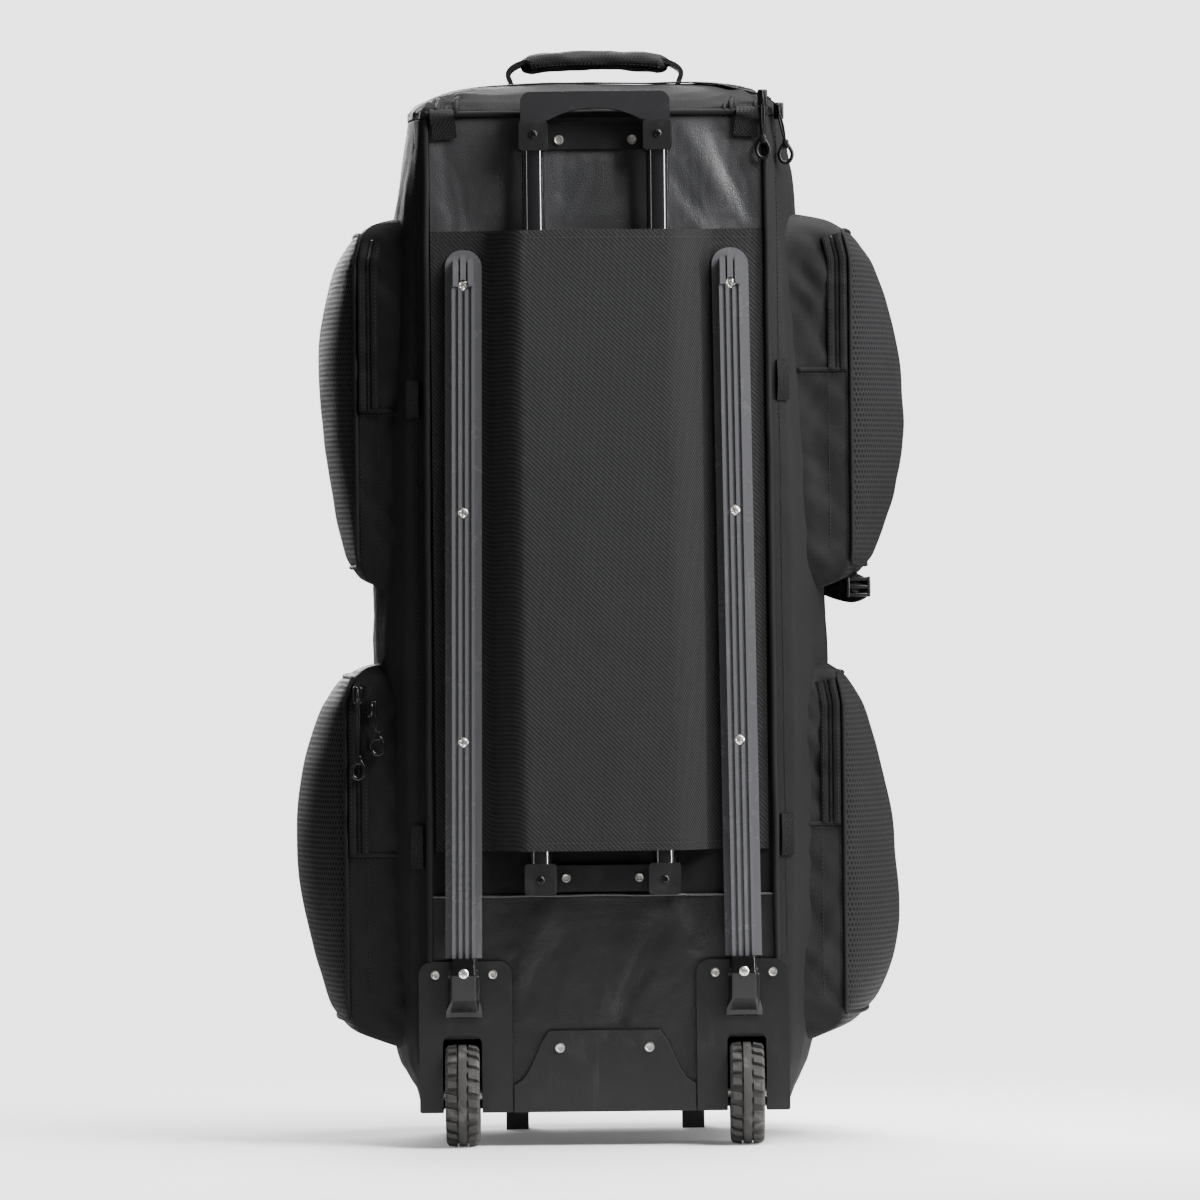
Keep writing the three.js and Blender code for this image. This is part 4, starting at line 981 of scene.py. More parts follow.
def make_sleeve():
    """The coarse sleeve that stands over the tubes, with its two hems."""
    low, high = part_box("trolley_sleeve")
    places = []
    for z, line in sleeve_depths(low, high):
        places.append([])
        for column, y in enumerate(line):
            x = low.x + (high.x - low.x) * column / (SLEEVE_COLUMNS - 1)
            tented = clamp((high.y - TENT_LOW - y) / TENT_RISE)
            ripple = 0.9 * MM * noise.noise(Vector((x * 14, z * 9, 3.3)))
            ripple += 0.5 * MM * noise.noise(Vector((x * 40, z * 18, 8.1)))
            places[-1].append(Vector((x, y + ripple * tented, z)))
    sleeve = cloth_grid("sleeve", places)
    face_way(sleeve, BACKWARD)
    thicken(sleeve, SLEEVE_WALL)
    finish_piece(sleeve, "woven_sleeve", "sleeve", replaced=("trolley_sleeve",), smooth=60)
    stitches = []
    for target in (places[-1][0].z - SLEEVE_HEM, places[0][0].z + SLEEVE_HEM):
        row = min(places, key=lambda line: abs(line[0].z - target))
        stitches.append(stitch_line("row", [place + BACKWARD * 0.15 * MM for place in row], BACKWARD))
    finish_piece(joined(stitches), "sleeve_stitches", "thread", smooth=0)


# Shared lines, bands, zips and fastenings


def surface(node, place, way=(0, 1, 0), far=0.5):
    """Where a line toward a place first meets a CAD node, and the surface's direction there."""
    way = Vector(way)
    hit, normal, _index, _far = tree_of(node).ray_cast(Vector(place) - way * far, way)
    if hit is None:
        raise RuntimeError("no surface of " + node + " at " + str(tuple(place)))
    return hit, normal


def smooth_line(points, count):
    """Even places on a smooth curve through points."""
    knots = [Vector(point) for point in points]
    knots = [knots[0] * 2 - knots[1]] + knots + [knots[-1] * 2 - knots[-2]]
    fine = []
    steps = 12
    for i in range(1, len(knots) - 2):
        a, b, c, d = knots[i - 1 : i + 3]
        for step in range(steps):
            t = step / steps
            fine.append(
                (b * 2 + (c - a) * t + (a * 2 - b * 5 + c * 4 - d) * t * t + (b * 3 - a - c * 3 + d) * t * t * t) / 2
            )
    fine.append(knots[-2])
    return spread(fine, count)


def beside(line, out, distance):
    """The same line moved sideways on its surface."""
    result = []
    for i, place in enumerate(line):
        along = (line[min(i + 1, len(line) - 1)] - line[max(i - 1, 0)]).normalized()
        result.append(place + along.cross(outward_at(out, place)).normalized() * distance)
    return result


def band(name, line, out, half, thickness, columns=5, swell=0.0):
    """A flat band along a line, facing out, its middle raised by swell."""
    across = [2 * column / (columns - 1) - 1 for column in range(columns)]
    sides = [beside(line, out, half * share) for share in across]
    rows = []
    for i, place in enumerate(line):
        raised = outward_at(out, place) * swell
        rows.append([side[i] + raised * (1 - share**2) for side, share in zip(sides, across)])
    sheet = cloth_grid(name, rows)
    face_way(sheet, outward_at(out, line[len(line) // 2]))
    thicken(sheet, thickness, 1.0)
    return sheet


TAPE_SUNK = 2.0 * MM


def zip_run(name, line, out, replaced, half=8.0 * MM):
    """A zip: its tape, the two folded edges beside the coil, the coil and two rows of stitches."""

    def moved(places, height):
        """The same places, moved out of the surface or into it."""
        return [place + outward_at(out, place) * height for place in places]

    tape = band("tape", moved(line, -TAPE_SUNK), out, half, TAPE_SUNK + 0.6 * MM)
    top = moved(line, 0.9 * MM)
    folds = [
        band("fold", beside(top, out, way * half * 0.68), out, half * 0.34, 0.9 * MM, swell=0.5 * MM) for way in (-1, 1)
    ]
    finish_piece(joined([tape, *folds]), "zip_" + name, "zip", replaced=replaced, smooth=60)
    teeth = []
    for place, along in walk(top, sizes().tooth_pitch):
        facing = outward_at(out, place)
        teeth.append(placed(place, along.cross(facing), facing))
    coil = repeated("coil", lozenge(3.6 * MM, 0.75 * MM, 0.9 * MM), teeth)
    finish_piece(coil, "coil_" + name, "coil", smooth=0)
    raised = moved(top, 1.3 * MM)
    rows = [stitch_line("row", beside(raised, out, way * half * 0.8), out) for way in (-1, 1)]
    finish_piece(joined(rows), "zip_stitches_" + name, "thread", smooth=0)


RING_STEPS = 28


def teardrop(centre, half_width, half_height, wire):
    """A moulded ring, drawn out toward its cord."""
    points = []
    for step in range(RING_STEPS):
        turn = 2 * math.pi * step / RING_STEPS
        rise = max(0.0, math.sin(turn))
        drawn = 1.0 + 0.35 * rise**3
        narrow = 1.0 - 0.3 * rise**2
        points.append(centre + Vector((half_width * narrow * math.cos(turn), 0, half_height * drawn * math.sin(turn))))
    return cord_along("ring", points, wire, closed=True, sides=3)


BRIDGE = ((0, -2, 6), (0, -5, 5), (0, -5.6, 0), (0, -5, -5), (0, -2, -6))


def zip_pull(name, slider, ring, finish, replaced):
    """A slider with its bridge, the cord on it and the moulded ring that is held."""
    pieces = [block(slider + Vector((-4.4, -2.6, -7.5)) * MM, slider + Vector((4.4, 2.2, 7.5)) * MM, 1.5 * MM)]
    pieces.append(cord_along("bridge", [slider + Vector(place) * MM for place in BRIDGE], 1.3 * MM, sides=3))
    top = ring + Vector((0, 0, 9.5)) * MM
    middle = (slider + top) / 2
    for way in (-1, 1):
        strand = [slider + Vector((way * 0.8, -4.4, -2)) * MM, middle + Vector((way * 1.1, -3.4, 0)) * MM, top]
        pieces.append(cord_along("strand", smooth_line(strand, 14), 0.95 * MM, sides=3))
    pieces.append(block(top + Vector((-2.8, -1.9, -4.5)) * MM, top + Vector((2.8, 1.9, 3.5)) * MM, 1.1 * MM))
    pieces.append(teardrop(ring, 5.6 * MM, 7.4 * MM, 1.75 * MM))
    finish_piece(joined(pieces), name, finish, replaced=replaced, smooth=50)


RIVET_DRAW = ((0, 0.5), (0.55, 0.5), (0.72, 1.0), (0.86, 0.95), (1, 0.3))

HEAD_RINGS, HEAD_SIDES = 7, 24
CROSS_DEEP = 0.9 * MM
HEAD_SUNK = 0.6 * MM


def screw_template(radius, height, crossed):
    """A head facing -Y: domed with a cross cut into it for a screw, flat with a raised rim for a rivet."""

    def circle(far):
        """Places round the head's axis, as x and z."""
        turns = [2 * math.pi * side / HEAD_SIDES for side in range(HEAD_SIDES)]
        return [(far * math.cos(turn), far * math.sin(turn)) for turn in turns]

    corners = [(0, -height + CROSS_DEEP if crossed else -height * 0.5, 0)]
    for ring in range(1, HEAD_RINGS + 1):
        share = ring / HEAD_RINGS
        rise = math.sqrt(1 - 0.82 * share**2) if crossed else between(RIVET_DRAW, share)
        for x, z in circle(radius * share):
            cut = crossed and min(abs(x), abs(z)) < radius * 0.16 and share < 0.66
            corners.append((x, -height * rise + (CROSS_DEEP if cut else 0), z))
    corners += [(x, HEAD_SUNK, z) for x, z in circle(radius)]
    faces = []
    for side in range(HEAD_SIDES):
        after = (side + 1) % HEAD_SIDES
        faces.append((0, 1 + side, 1 + after))
        for ring in range(HEAD_RINGS):
            start = 1 + ring * HEAD_SIDES
            faces.append((start + side, start + HEAD_SIDES + side, start + HEAD_SIDES + after, start + after))
    faces.append(tuple(1 + HEAD_RINGS * HEAD_SIDES + side for side in range(HEAD_SIDES)))
    return corners, faces


# Name, CAD node (one that ends in _ has a left and a right), x, z and radius in mm, whether it is crossed, finish
FASTENERS = (
    ("bracket_rivets", "upper_bracket", 32, 877, 4.6, False, "metal"),
    ("collar_screws", "upper_bracket", 54, 881, 3.6, True, "dark_metal"),
    ("lower_bracket_rivets", "lower_bracket", 32, 234, 4.2, False, "metal"),
    ("lower_collar_screws", "lower_bracket", 54, 233, 3.6, True, "dark_metal"),
    ("housing_rivets_inner", "wheel_housing_", 97, 150.5, 4.2, False, "metal"),
    ("housing_rivets_outer", "wheel_housing_", 147, 150.5, 4.2, False, "metal"),
    ("rail_foot_screws", "rail_foot_", 122, 152, 4.2, True, "metal"),
    ("kick_plate_rivets", "kick_plate", 39, 86, 4.6, False, "metal"),
)
HEAD_HEIGHT = 2.0 * MM
RAIL_SCREW_RADIUS = 4.5 * MM


def fasten(name, template, places, finish, replaced=()):
    """Heads at their places, as one piece."""
    heads = repeated("heads", template, places)
    outward(heads)
    finish_piece(heads, name, finish, replaced=replaced, smooth=35)


def make_fasteners():
    """Rivets and screws of the brackets, housings, rails and kick plate."""
    for name, node, x, z, radius, crossed, finish in FASTENERS:
        places = []
        for side_name, side in SIDES:
            held = node + side_name if node.endswith("_") else node
            hit, _normal = surface(held, (side * x * MM, 0, z * MM))
            places.append(Matrix.Translation(hit) @ Matrix.Rotation(0.4 * side + z, 4, "Y"))
        fasten(name, screw_template(radius * MM, HEAD_HEIGHT, crossed), places, finish)
    for side_name, _side in SIDES:
        for spot in ("top", "middle", "bottom"):
            node = "rail_screw_" + side_name + "_" + spot
            low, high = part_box(node)
            centre = Vector(((low.x + high.x) / 2, high.y, (low.z + high.z) / 2))
            place = Matrix.Translation(centre) @ Matrix.Rotation(len(side_name) + 2.1 * len(spot), 4, "Y")
            template = screw_template(RAIL_SCREW_RADIUS, high.y - low.y, True)
            fasten(node + "_head", template, [place], "metal", (node,))


# Pockets

ROOT_X = 165 * MM
SIDE_X = 203 * MM
FRONT_Y = 189 * MM
POCKET_REACH = 69 * MM
BACK_INSET, SEAM_INSET, FRONT_INSET = 16 * MM, 24 * MM, 60 * MM
POCKET_CORNER = 34 * MM
CORNER_ROUND = 0.8
POCKET_WALL = 1.4 * MM
PLAIN_ROWS = 7
CORD_FROM_TO = (0.075, 0.955)
ZIP_FROM_SEAM = 11 * MM
GUSSET_COLUMNS, FACE_COLUMNS, POCKET_ROWS = 18, 64, 150
SEAM_DRAW = ((0, 0.2), (0.045, 0.86), (0.1, 1), (0.88, 1), (0.95, 0.9), (0.985, 0.66), (1, 0.2))
POCKETS = (
    {"name": "upper_left", "side": -1, "seam": 0.12, "reach": 0.65, "peak": 0.62, "zip": 0.51, "seed": 11},
    {"name": "upper_right", "side": 1, "seam": 0.26, "reach": 1, "peak": 0.48, "zip": 0.41, "seed": 12},
    {"name": "lower_left", "side": -1, "seam": 0.3, "reach": 1, "peak": 0.55, "zip": 0.5, "seed": 13},
    {"name": "lower_right", "side": 1, "seam": 0.12, "reach": 0.88, "peak": 0.33, "zip": 0.43, "seed": 14},
)


def between(table, at):
    """The value of a two-column table at a place between its rows."""
    for (start, first), (stop, second) in zip(table, table[1:]):
        if at <= stop:
            return first + (second - first) * (at - start) / (stop - start)
    return table[-1][1]


def wrinkle(place, seed, depth):
    """A small push in or out of the cloth at a place."""
    shifted = place + Vector((seed, seed * 0.7, seed * 1.3))
    broad = noise.noise(shifted * 15)
    slanted = noise.noise(Vector((shifted.x * 34, shifted.y * 34, (shifted.z + shifted.x * 0.8) * 62)))
    ridged = 0.5 - abs(noise.noise(Vector((shifted.x * 22, shifted.y * 22, (shifted.z - shifted.x * 0.6) * 40))))
    return depth * (0.6 * broad + 0.5 * slanted + 0.7 * ridged - 0.3)


class PocketCloth:
    """Where the cloth of one pocket lies; up and share run from 0 to 1."""

    def __init__(self, pocket):
        """Takes a row of the pockets' table."""
        self.side, self.seed, self.row = pocket["side"], pocket["seed"], pocket
        low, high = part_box("pocket_" + pocket["name"])
        self.low, self.tall = low.z + 0.5 * MM, high.z - low.z - 1.0 * MM

    def z(self, up):
        """A height in the bag."""
        return self.low + self.tall * up

    def seam_x(self, up):
        """How far out the corded seam stands."""
        full = SIDE_X + self.row["seam"] * POCKET_REACH
        return ROOT_X + (full - ROOT_X) * between(SEAM_DRAW, up)

    def draw_in(self, up):
        """How far the pocket's rounded corners draw its edges in."""
        rise = max(0.0, POCKET_CORNER - min(up, 1 - up) * self.tall) / POCKET_CORNER
        return POCKET_CORNER * (1 - math.sqrt(1 - rise * rise)) * CORNER_ROUND

    def bulge(self, up):
        """How far the full face stands out past the seam."""
        reached = min(up / self.row["peak"], (1 - up) / (1 - self.row["peak"]))
        swell = math.sin(math.pi / 2 * reached) ** 0.75
        return (self.row["reach"] - self.row["seam"]) * POCKET_REACH * swell

    def gusset(self, up, share, end):
        """A place on the gusset: share 0 on the seam and 1 at the body; end is back or front."""
        seam = self.seam_x(up)
        draw = self.draw_in(up)
        if end == "back":
            seam_y, root_y, way = BACK_Y + SEAM_INSET + draw, BACK_Y + BACK_INSET + draw, -1
        else:
            seam_y, root_y, way = FRONT_Y - FRONT_INSET - draw, FRONT_Y - FRONT_INSET - draw + 6 * MM, 1
        root = ROOT_X - 8 * MM
        place = Vector((self.side * (seam + (root - seam) * share), seam_y + (root_y - seam_y) * share, self.z(up)))
        free = math.sin(math.pi * min(1.0, share * 1.1)) ** 0.7 * min(1.0, min(up, 1 - up) * 14)
        place.y += way * 2.6 * wrinkle(place, self.seed, sizes().crease) * free
        return place

    def face(self, up, share):
        """A place on the face: share 0 on the back seam and 1 on the front seam."""
        seam_back = BACK_Y + SEAM_INSET + self.draw_in(up)
        seam_front = FRONT_Y - FRONT_INSET - self.draw_in(up)
        out = self.seam_x(up) + self.bulge(up) * math.sin(math.pi * share) ** 0.6
        place = Vector((self.side * out, seam_back + (seam_front - seam_back) * share, self.z(up)))
        free = math.sin(math.pi * share) * min(1.0, min(up, 1 - up) * 9)
        place.x += self.side * 0.9 * wrinkle(place * 0.6, self.seed + 3, sizes().crease) * free
        return place


def pocket_up(step):
    """Heights of a pocket's rows, closer together at both ends."""
    even = step / (POCKET_ROWS - 1)
    return 0.5 * even + 0.5 * (0.5 - 0.5 * math.cos(math.pi * even))


def make_pocket(pocket):
    """One pocket: honeycomb face, plain gussets, corded seam, zip and stitches."""
    name, side = pocket["name"], pocket["side"]
    cloth = PocketCloth(pocket)
    rows = []
    for step in range(POCKET_ROWS):
        up = pocket_up(step)
        line = [cloth.gusset(up, 1 - j / GUSSET_COLUMNS, "back") for j in range(GUSSET_COLUMNS)]
        line += [cloth.face(up, j / FACE_COLUMNS) for j in range(FACE_COLUMNS)]
        line += [cloth.gusset(up, j / GUSSET_COLUMNS, "front") for j in range(GUSSET_COLUMNS + 1)]
        rows.append(line)
    back, front = GUSSET_COLUMNS, GUSSET_COLUMNS + FACE_COLUMNS
    ease_rows(rows, 5)

    def paint_at(row, column):
        """Honeycomb between the seams, plain cloth on the gussets and at both ends."""
        return int(back <= column < front and PLAIN_ROWS <= row < POCKET_ROWS - 1 - PLAIN_ROWS)

    sheet = cloth_grid("pocket", rows, paint_at)
    face_way(sheet, (side, 0, 0))
    sheet.data.materials.append(FINISHES["cloth"])
    sheet.data.materials.append(FINISHES["pocket"])
    thicken(sheet, POCKET_WALL)
    finish_piece(sheet, "pocket_cloth_" + name, None, replaced=("pocket_" + name,), smooth=60)
    first, last = (next(i for i in range(POCKET_ROWS) if pocket_up(i) > up) for up in CORD_FROM_TO)
    loop = [rows[i][back] for i in range(first, last + 1)]
    loop += [rows[last][j] for j in range(back + 1, front)]
    loop += [rows[i][front] for i in range(last, first - 1, -1)]
    loop += [rows[first][j] for j in range(front - 1, back, -1)]
    cord = cord_along("seam_cord", round_loop(loop, side), sizes().seam_cord, closed=True)
    finish_piece(cord, "pocket_cord_" + name, "cloth", smooth=60)
    gusset_details(pocket, cloth)


def make_pockets():
    """All four pockets."""
    for pocket in POCKETS:
        make_pocket(pocket)


def ease_rows(rows, times):
    """Evens a grid of places upward only, so that its columns and seams keep their sections."""
    for _ in range(times):
        before = [[place.copy() for place in row] for row in rows]
        for i in range(1, len(rows) - 1):
            for j in range(len(rows[i])):
                rows[i][j] = (before[i - 1][j] + before[i][j] * 2 + before[i + 1][j]) / 4


def round_loop(loop, side):
    """A seam line moved a little out of the cloth and rounded at its corners."""
    moved = [place + Vector((side * 0.5 * MM, -0.4 * MM, 0)) for place in loop]
    count = len(moved)
    for _ in range(12):
        moved = [(moved[i - 1] + moved[i] * 2 + moved[(i + 1) % count]) / 4 for i in range(count)]
    return spread(moved + [moved[0]], count)[:-1]


def gusset_line(cloth, low_up, high_up, off, count, lift=0.8 * MM):
    """A line up the back gusset at a distance from the seam."""
    line = []
    for step in range(count):
        up = low_up + (high_up - low_up) * step / (count - 1)
        wide = cloth.seam_x(up) - ROOT_X + 8 * MM
        line.append(cloth.gusset(up, off / wide, "back") + BACKWARD * lift)
    return line


ZIP_TOP_UP = 0.94
SEAM_STITCH_OFF, ZIP_STITCH_OFF = 3.2 * MM, 19 * MM


def gusset_details(pocket, cloth):
    """The zip on a pocket's back gusset, the seam across its end, and the rows of stitches."""
    name = pocket["name"]
    zip_end = 1 - pocket["zip"]
    run = gusset_line(cloth, zip_end, ZIP_TOP_UP, ZIP_FROM_SEAM, 60)
    zip_run("pocket_" + name, run, BACKWARD, ("pocket_zip_" + name,))
    rows = [
        stitch_line("row", gusset_line(cloth, 0.09, 0.93, SEAM_STITCH_OFF, 90, 0.3 * MM), BACKWARD),
        stitch_line("row", gusset_line(cloth, 0.12, zip_end, ZIP_STITCH_OFF, 60, 0.3 * MM), BACKWARD),
    ]
    across = [cloth.gusset(zip_end, share / 20, "back") + BACKWARD * 0.9 * MM for share in range(1, 15)]
    fold = band("fold", across, BACKWARD, 1.6 * MM, 0.7 * MM, swell=0.4 * MM)
    finish_piece(fold, "pocket_seam_" + name, "cloth", smooth=60)
    rows.append(stitch_line("row", [place + Vector((0, -0.6, -3.6)) * MM for place in across], BACKWARD))
    finish_piece(joined(rows), "pocket_stitches_" + name, "thread", smooth=0)


# Piping, tabs, main zip, pulls and handle

PIPING_RADIUS = 3.0 * MM
PIPING_STEPS, TOP_STEPS = 80, 60
PIPING_BASE_X, PIPING_LEAN = 152 * MM, 4 * MM
PIPING_BASE_Z, PIPING_TALL = 30 * MM, 867 * MM


def make_piping():
    """Covered cords down both edges of the back and along its top."""
    lines = {}
    for name, side in SIDES:
        low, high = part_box("piping_" + name)
        lines[name] = []
        for step in range(PIPING_STEPS):
            z = low.z + (high.z - low.z) * step / (PIPING_STEPS - 1)
            x = side * (PIPING_BASE_X - PIPING_LEAN * (z - PIPING_BASE_Z) / PIPING_TALL)
            x += 0.7 * MM * noise.noise(Vector((side, 2.0, z * 16)))
            lines[name].append(Vector((x, (low.y + high.y) / 2, z)))
    low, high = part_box("piping_top")
    lines["top"] = []
    for step in range(TOP_STEPS + 1):
        z = (low.z + high.z) / 2 + 0.8 * MM * noise.noise(Vector((step / 7, 0, 5)))
        lines["top"].append(Vector((low.x + (high.x - low.x) * step / TOP_STEPS, (low.y + high.y) / 2, z)))
    for name, line in lines.items():
        cord = cord_along("cord", line, PIPING_RADIUS, sides=3)
        finish_piece(cord, "piped_edge_" + name, "cloth", replaced=("piping_" + name,), smooth=60)
    rows = []
    for name, side in SIDES:
        outer = [surface("sewn_body", (place.x + side * 9 * MM, 0, place.z)) for place in lines[name]]
        rows.append(stitch_line("row", [hit + normal * 0.5 * MM for hit, normal in outer], (side * 0.25, -0.97, 0)))
    finish_piece(joined(rows), "side_stitches", "thread", smooth=0)


TAB_STEPS = 14


def make_tabs():
    """Webbing tabs at the two top corners and in the side seams."""
    for name, side in SIDES:
        low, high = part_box("corner_tab_" + name)
        middle = (low.x + high.x) / 2
        lean = side * 2.5 * MM
        line = [
            Vector((middle, high.y + 2.5 * MM, high.z + 7 * MM)),
            Vector((middle, low.y - 2.4 * MM, high.z + 5.5 * MM)),
            Vector((middle, low.y - 5.2 * MM, high.z + 1 * MM)),
            Vector((middle - lean * 0.5, low.y - 2.2 * MM, high.z - 5 * MM)),
            Vector((middle - lean, low.y, low.z)),
        ]
        tab = band("tab", smooth_line(line, 24), BACKWARD, (high.x - low.x) / 2, 1.6 * MM, columns=9)
        finish_piece(tab, "webbing_tab_" + name, "webbing", replaced=("corner_tab_" + name,), smooth=60)
    for name in ("upper_left", "upper_right", "lower_left", "lower_right"):
        node = "side_tab_" + name
        low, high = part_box(node)
        x = (low.x + high.x) / 2
        heights = [low.z + (high.z - low.z) * step / TAB_STEPS for step in range(TAB_STEPS + 1)]
        line = [surface("sewn_body", (x, 0, z)) for z in heights]
        out = (line[TAB_STEPS // 2][1] + Vector((0, -0.2, 0))).normalized()
        bulge = []
        for step, (hit, _normal) in enumerate(line):
            bulge.append(hit + out * (0.8 + 2.2 * math.sin(math.pi * step / TAB_STEPS)) * MM)
        tab = band("tab", bulge, out, (high.x - low.x) / 2, 1.5 * MM, columns=7)
        finish_piece(tab, "webbing_loop_" + name, "webbing", replaced=(node,), smooth=60)


TOP_HALF = 0.815 * SIDE_X
LID_MIDDLE_Y = 19 * MM
HALF_DEPTH = 170 * MM
HOOP = (
    (-0.8, 0.62), (-0.84, 0.2), (-0.82, -0.3), (-0.62, -0.42), (0, -0.4),
    (0.5, -0.52), (0.84, -0.8), (0.86, -0.3), (0.84, 0.2), (0.8, 0.62),
)

ZIP_LIFT = 0.1 * MM
HOOP_WIDTH, RUN_WIDTH = 11 * MM, 10 * MM
HOOP_EASED = 8
HOOP_STEPS, RUN_STEPS = 260, 150
RUN_SHORT = 2 * MM


def make_main_zip():
    """The main zip: a hoop over the lid and a run down each front corner."""
    knots = [Vector((across * TOP_HALF, LID_MIDDLE_Y + along * HALF_DEPTH, 0)) for across, along in HOOP]
    line, facings = [], []
    for place in smooth_line(knots, HOOP_STEPS):
        hit, normal = surface("crowned_lid", (place.x, place.y, 0.95), (0, 0, -1))
        line.append(hit + normal * ZIP_LIFT)
        facings.append(normal)
    for _ in range(HOOP_EASED):
        for i in range(1, len(line) - 1):
            line[i] = (line[i - 1] + line[i] * 2 + line[i + 1]) / 4
            facings[i] = (facings[i - 1] + facings[i] * 2 + facings[i + 1]).normalized()

    def out(place):
        """The lid's direction at the nearest place of the hoop."""
        return facings[min(range(len(line)), key=lambda i: (line[i] - place).length_squared)]

    zip_run("lid", line, out, ("main_zip_top",), half=HOOP_WIDTH)
    for name, side in SIDES:
        low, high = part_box("main_zip_" + name)
        run = []
        for step in range(RUN_STEPS):
            z = low.z + RUN_SHORT + (high.z - low.z - 2 * RUN_SHORT) * step / (RUN_STEPS - 1)
            hit, normal = surface("sewn_body", ((low.x + high.x) / 2, 0, z), (0, -1, 0))
            run.append(hit + normal * ZIP_LIFT)
        zip_run("front_" + name, run, Vector((side * 0.3, 0.95, 0)), ("main_zip_" + name,), half=RUN_WIDTH)


# Name, the slider's place across its node's box as a share and in mm more, mm in from the box's front, finish, slot
PULLS = (
    ("main_pull_left", 0.5, 0, 6.4, "dark_metal", "steel"),
    ("main_pull_right", 0, 4.6, 2.4, "dark_metal", "steel"),
    ("pocket_pull_upper", 0.5, 0, 2.4, "gloss_plastic", "moulded_plastic"),
    ("pocket_pull_lower", 1, -13, 2.4, "gloss_plastic", "moulded_plastic"),
)
SLIDER_DROP = 8 * MM
RING_IN, RING_FORWARD, RING_RISE = 8.3 * MM, 1.0 * MM, 10 * MM


def make_pulls():
    """Sliders, cords and rings of the main zip and of the lower left pocket."""
    for name, share, more, deep, finish, slot in PULLS:
        low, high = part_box(name)
        y = high.y - deep * MM
        slider = Vector((low.x + (high.x - low.x) * share + more * MM, y, high.z - SLIDER_DROP))
        ring = Vector((high.x - RING_IN, y - RING_FORWARD, low.z + RING_RISE))
        zip_pull("zip_" + name, slider, ring, finish, (name,))
    left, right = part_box("main_pull_left"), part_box("main_pull_right")
    start = Vector(((left[0].x + left[1].x) / 2, left[1].y - 8 * MM, left[1].z - 3 * MM))
    stop = Vector((right[0].x + 6 * MM, right[1].y - 8 * MM, right[1].z - 4 * MM))
    middle = (start + stop) / 2 + Vector((0, -2, -1.5)) * MM
    wire = cord_along("wire", smooth_line([start, middle, stop], 16), 0.6 * MM, sides=2)
    finish_piece(wire, "pull_link", "dark_metal", smooth=60)


TUCK_BASE_Z = 898 * MM
# Place across, width and height of each tuck in mm
TUCKS = ((-138, 3.4, 9), (-131, 2.6, 7), (-122, 3.6, 10), (112, 2.8, 7), (118, 3.4, 9), (139, 3.2, 8), (147, 3.0, 7))
# Lean and y in mm, and the share of a tuck's height, from its foot over the edge
TUCK_LINE = (
    (0, -151.5, 0), (0.4, -154.5, 0.3), (0.8, -153.5, 0.75),
    (1.4, -147, 1.15), (2.2, -134, 1.6), (2.8, -120, 1.9),
)


def make_tucks():
    """Gathered tucks where the lid's edge turns its back corners."""
    tucks = []
    for x, wide, tall in TUCKS:
        line = [Vector(((x + lean) * MM, y * MM, TUCK_BASE_Z + share * tall * MM)) for lean, y, share in TUCK_LINE]
        tucks.append(cord_along("tuck", smooth_line(line, 20), wide * MM * 0.75, sides=4))
    piece = joined(tucks)
    crumple(piece, 1.2 * MM, 160.0, 5)
    # The tucks take the lid's cloth, painted darker as painted shade.
    finish_piece(piece, "lid_tucks", "lid", smooth=60)


HANDLE_Y = -10 * MM
HANDLE_ARCH = ((-70, -6), (-70.5, 0), (-73, 7.5), (-74.5, 13), (-69, 18), (-58, 21.5), (-35, 24.2), (0, 25))

STRAP_HALF, STRAP_THICK = 19 * MM, 4.2 * MM
STRAP_TURN_X = 66 * MM
WRAP_ROWS, WRAP_SIDES = 90, 44
WRAP_HALF_TALL, WRAP_HALF_WIDE = 8.2 * MM, 22.5 * MM
WRAP_PAST, WRAP_FOOT = 9 * MM, 17 * MM


def wrap_ring(place, up, size):
    """One closed row of the padded wrap round the strap, gathered to a size near its ends."""
    row = []
    for side in range(WRAP_SIDES):
        turn = 2 * math.pi * side / WRAP_SIDES - math.pi / 2
        tall = WRAP_HALF_TALL * size * math.copysign(abs(math.sin(turn)) ** 0.8, math.sin(turn))
        spot = place + up * tall + Vector((0, WRAP_HALF_WIDE * size * math.cos(turn), 0))
        folds = noise.noise(Vector((spot.x * 55, math.cos(turn) * 1.6, math.sin(turn) * 1.6 + 4)))
        row.append(spot + (up * math.sin(turn) + Vector((0, math.cos(turn), 0))) * folds * 1.7 * MM)
    return [*row, row[0].copy()]


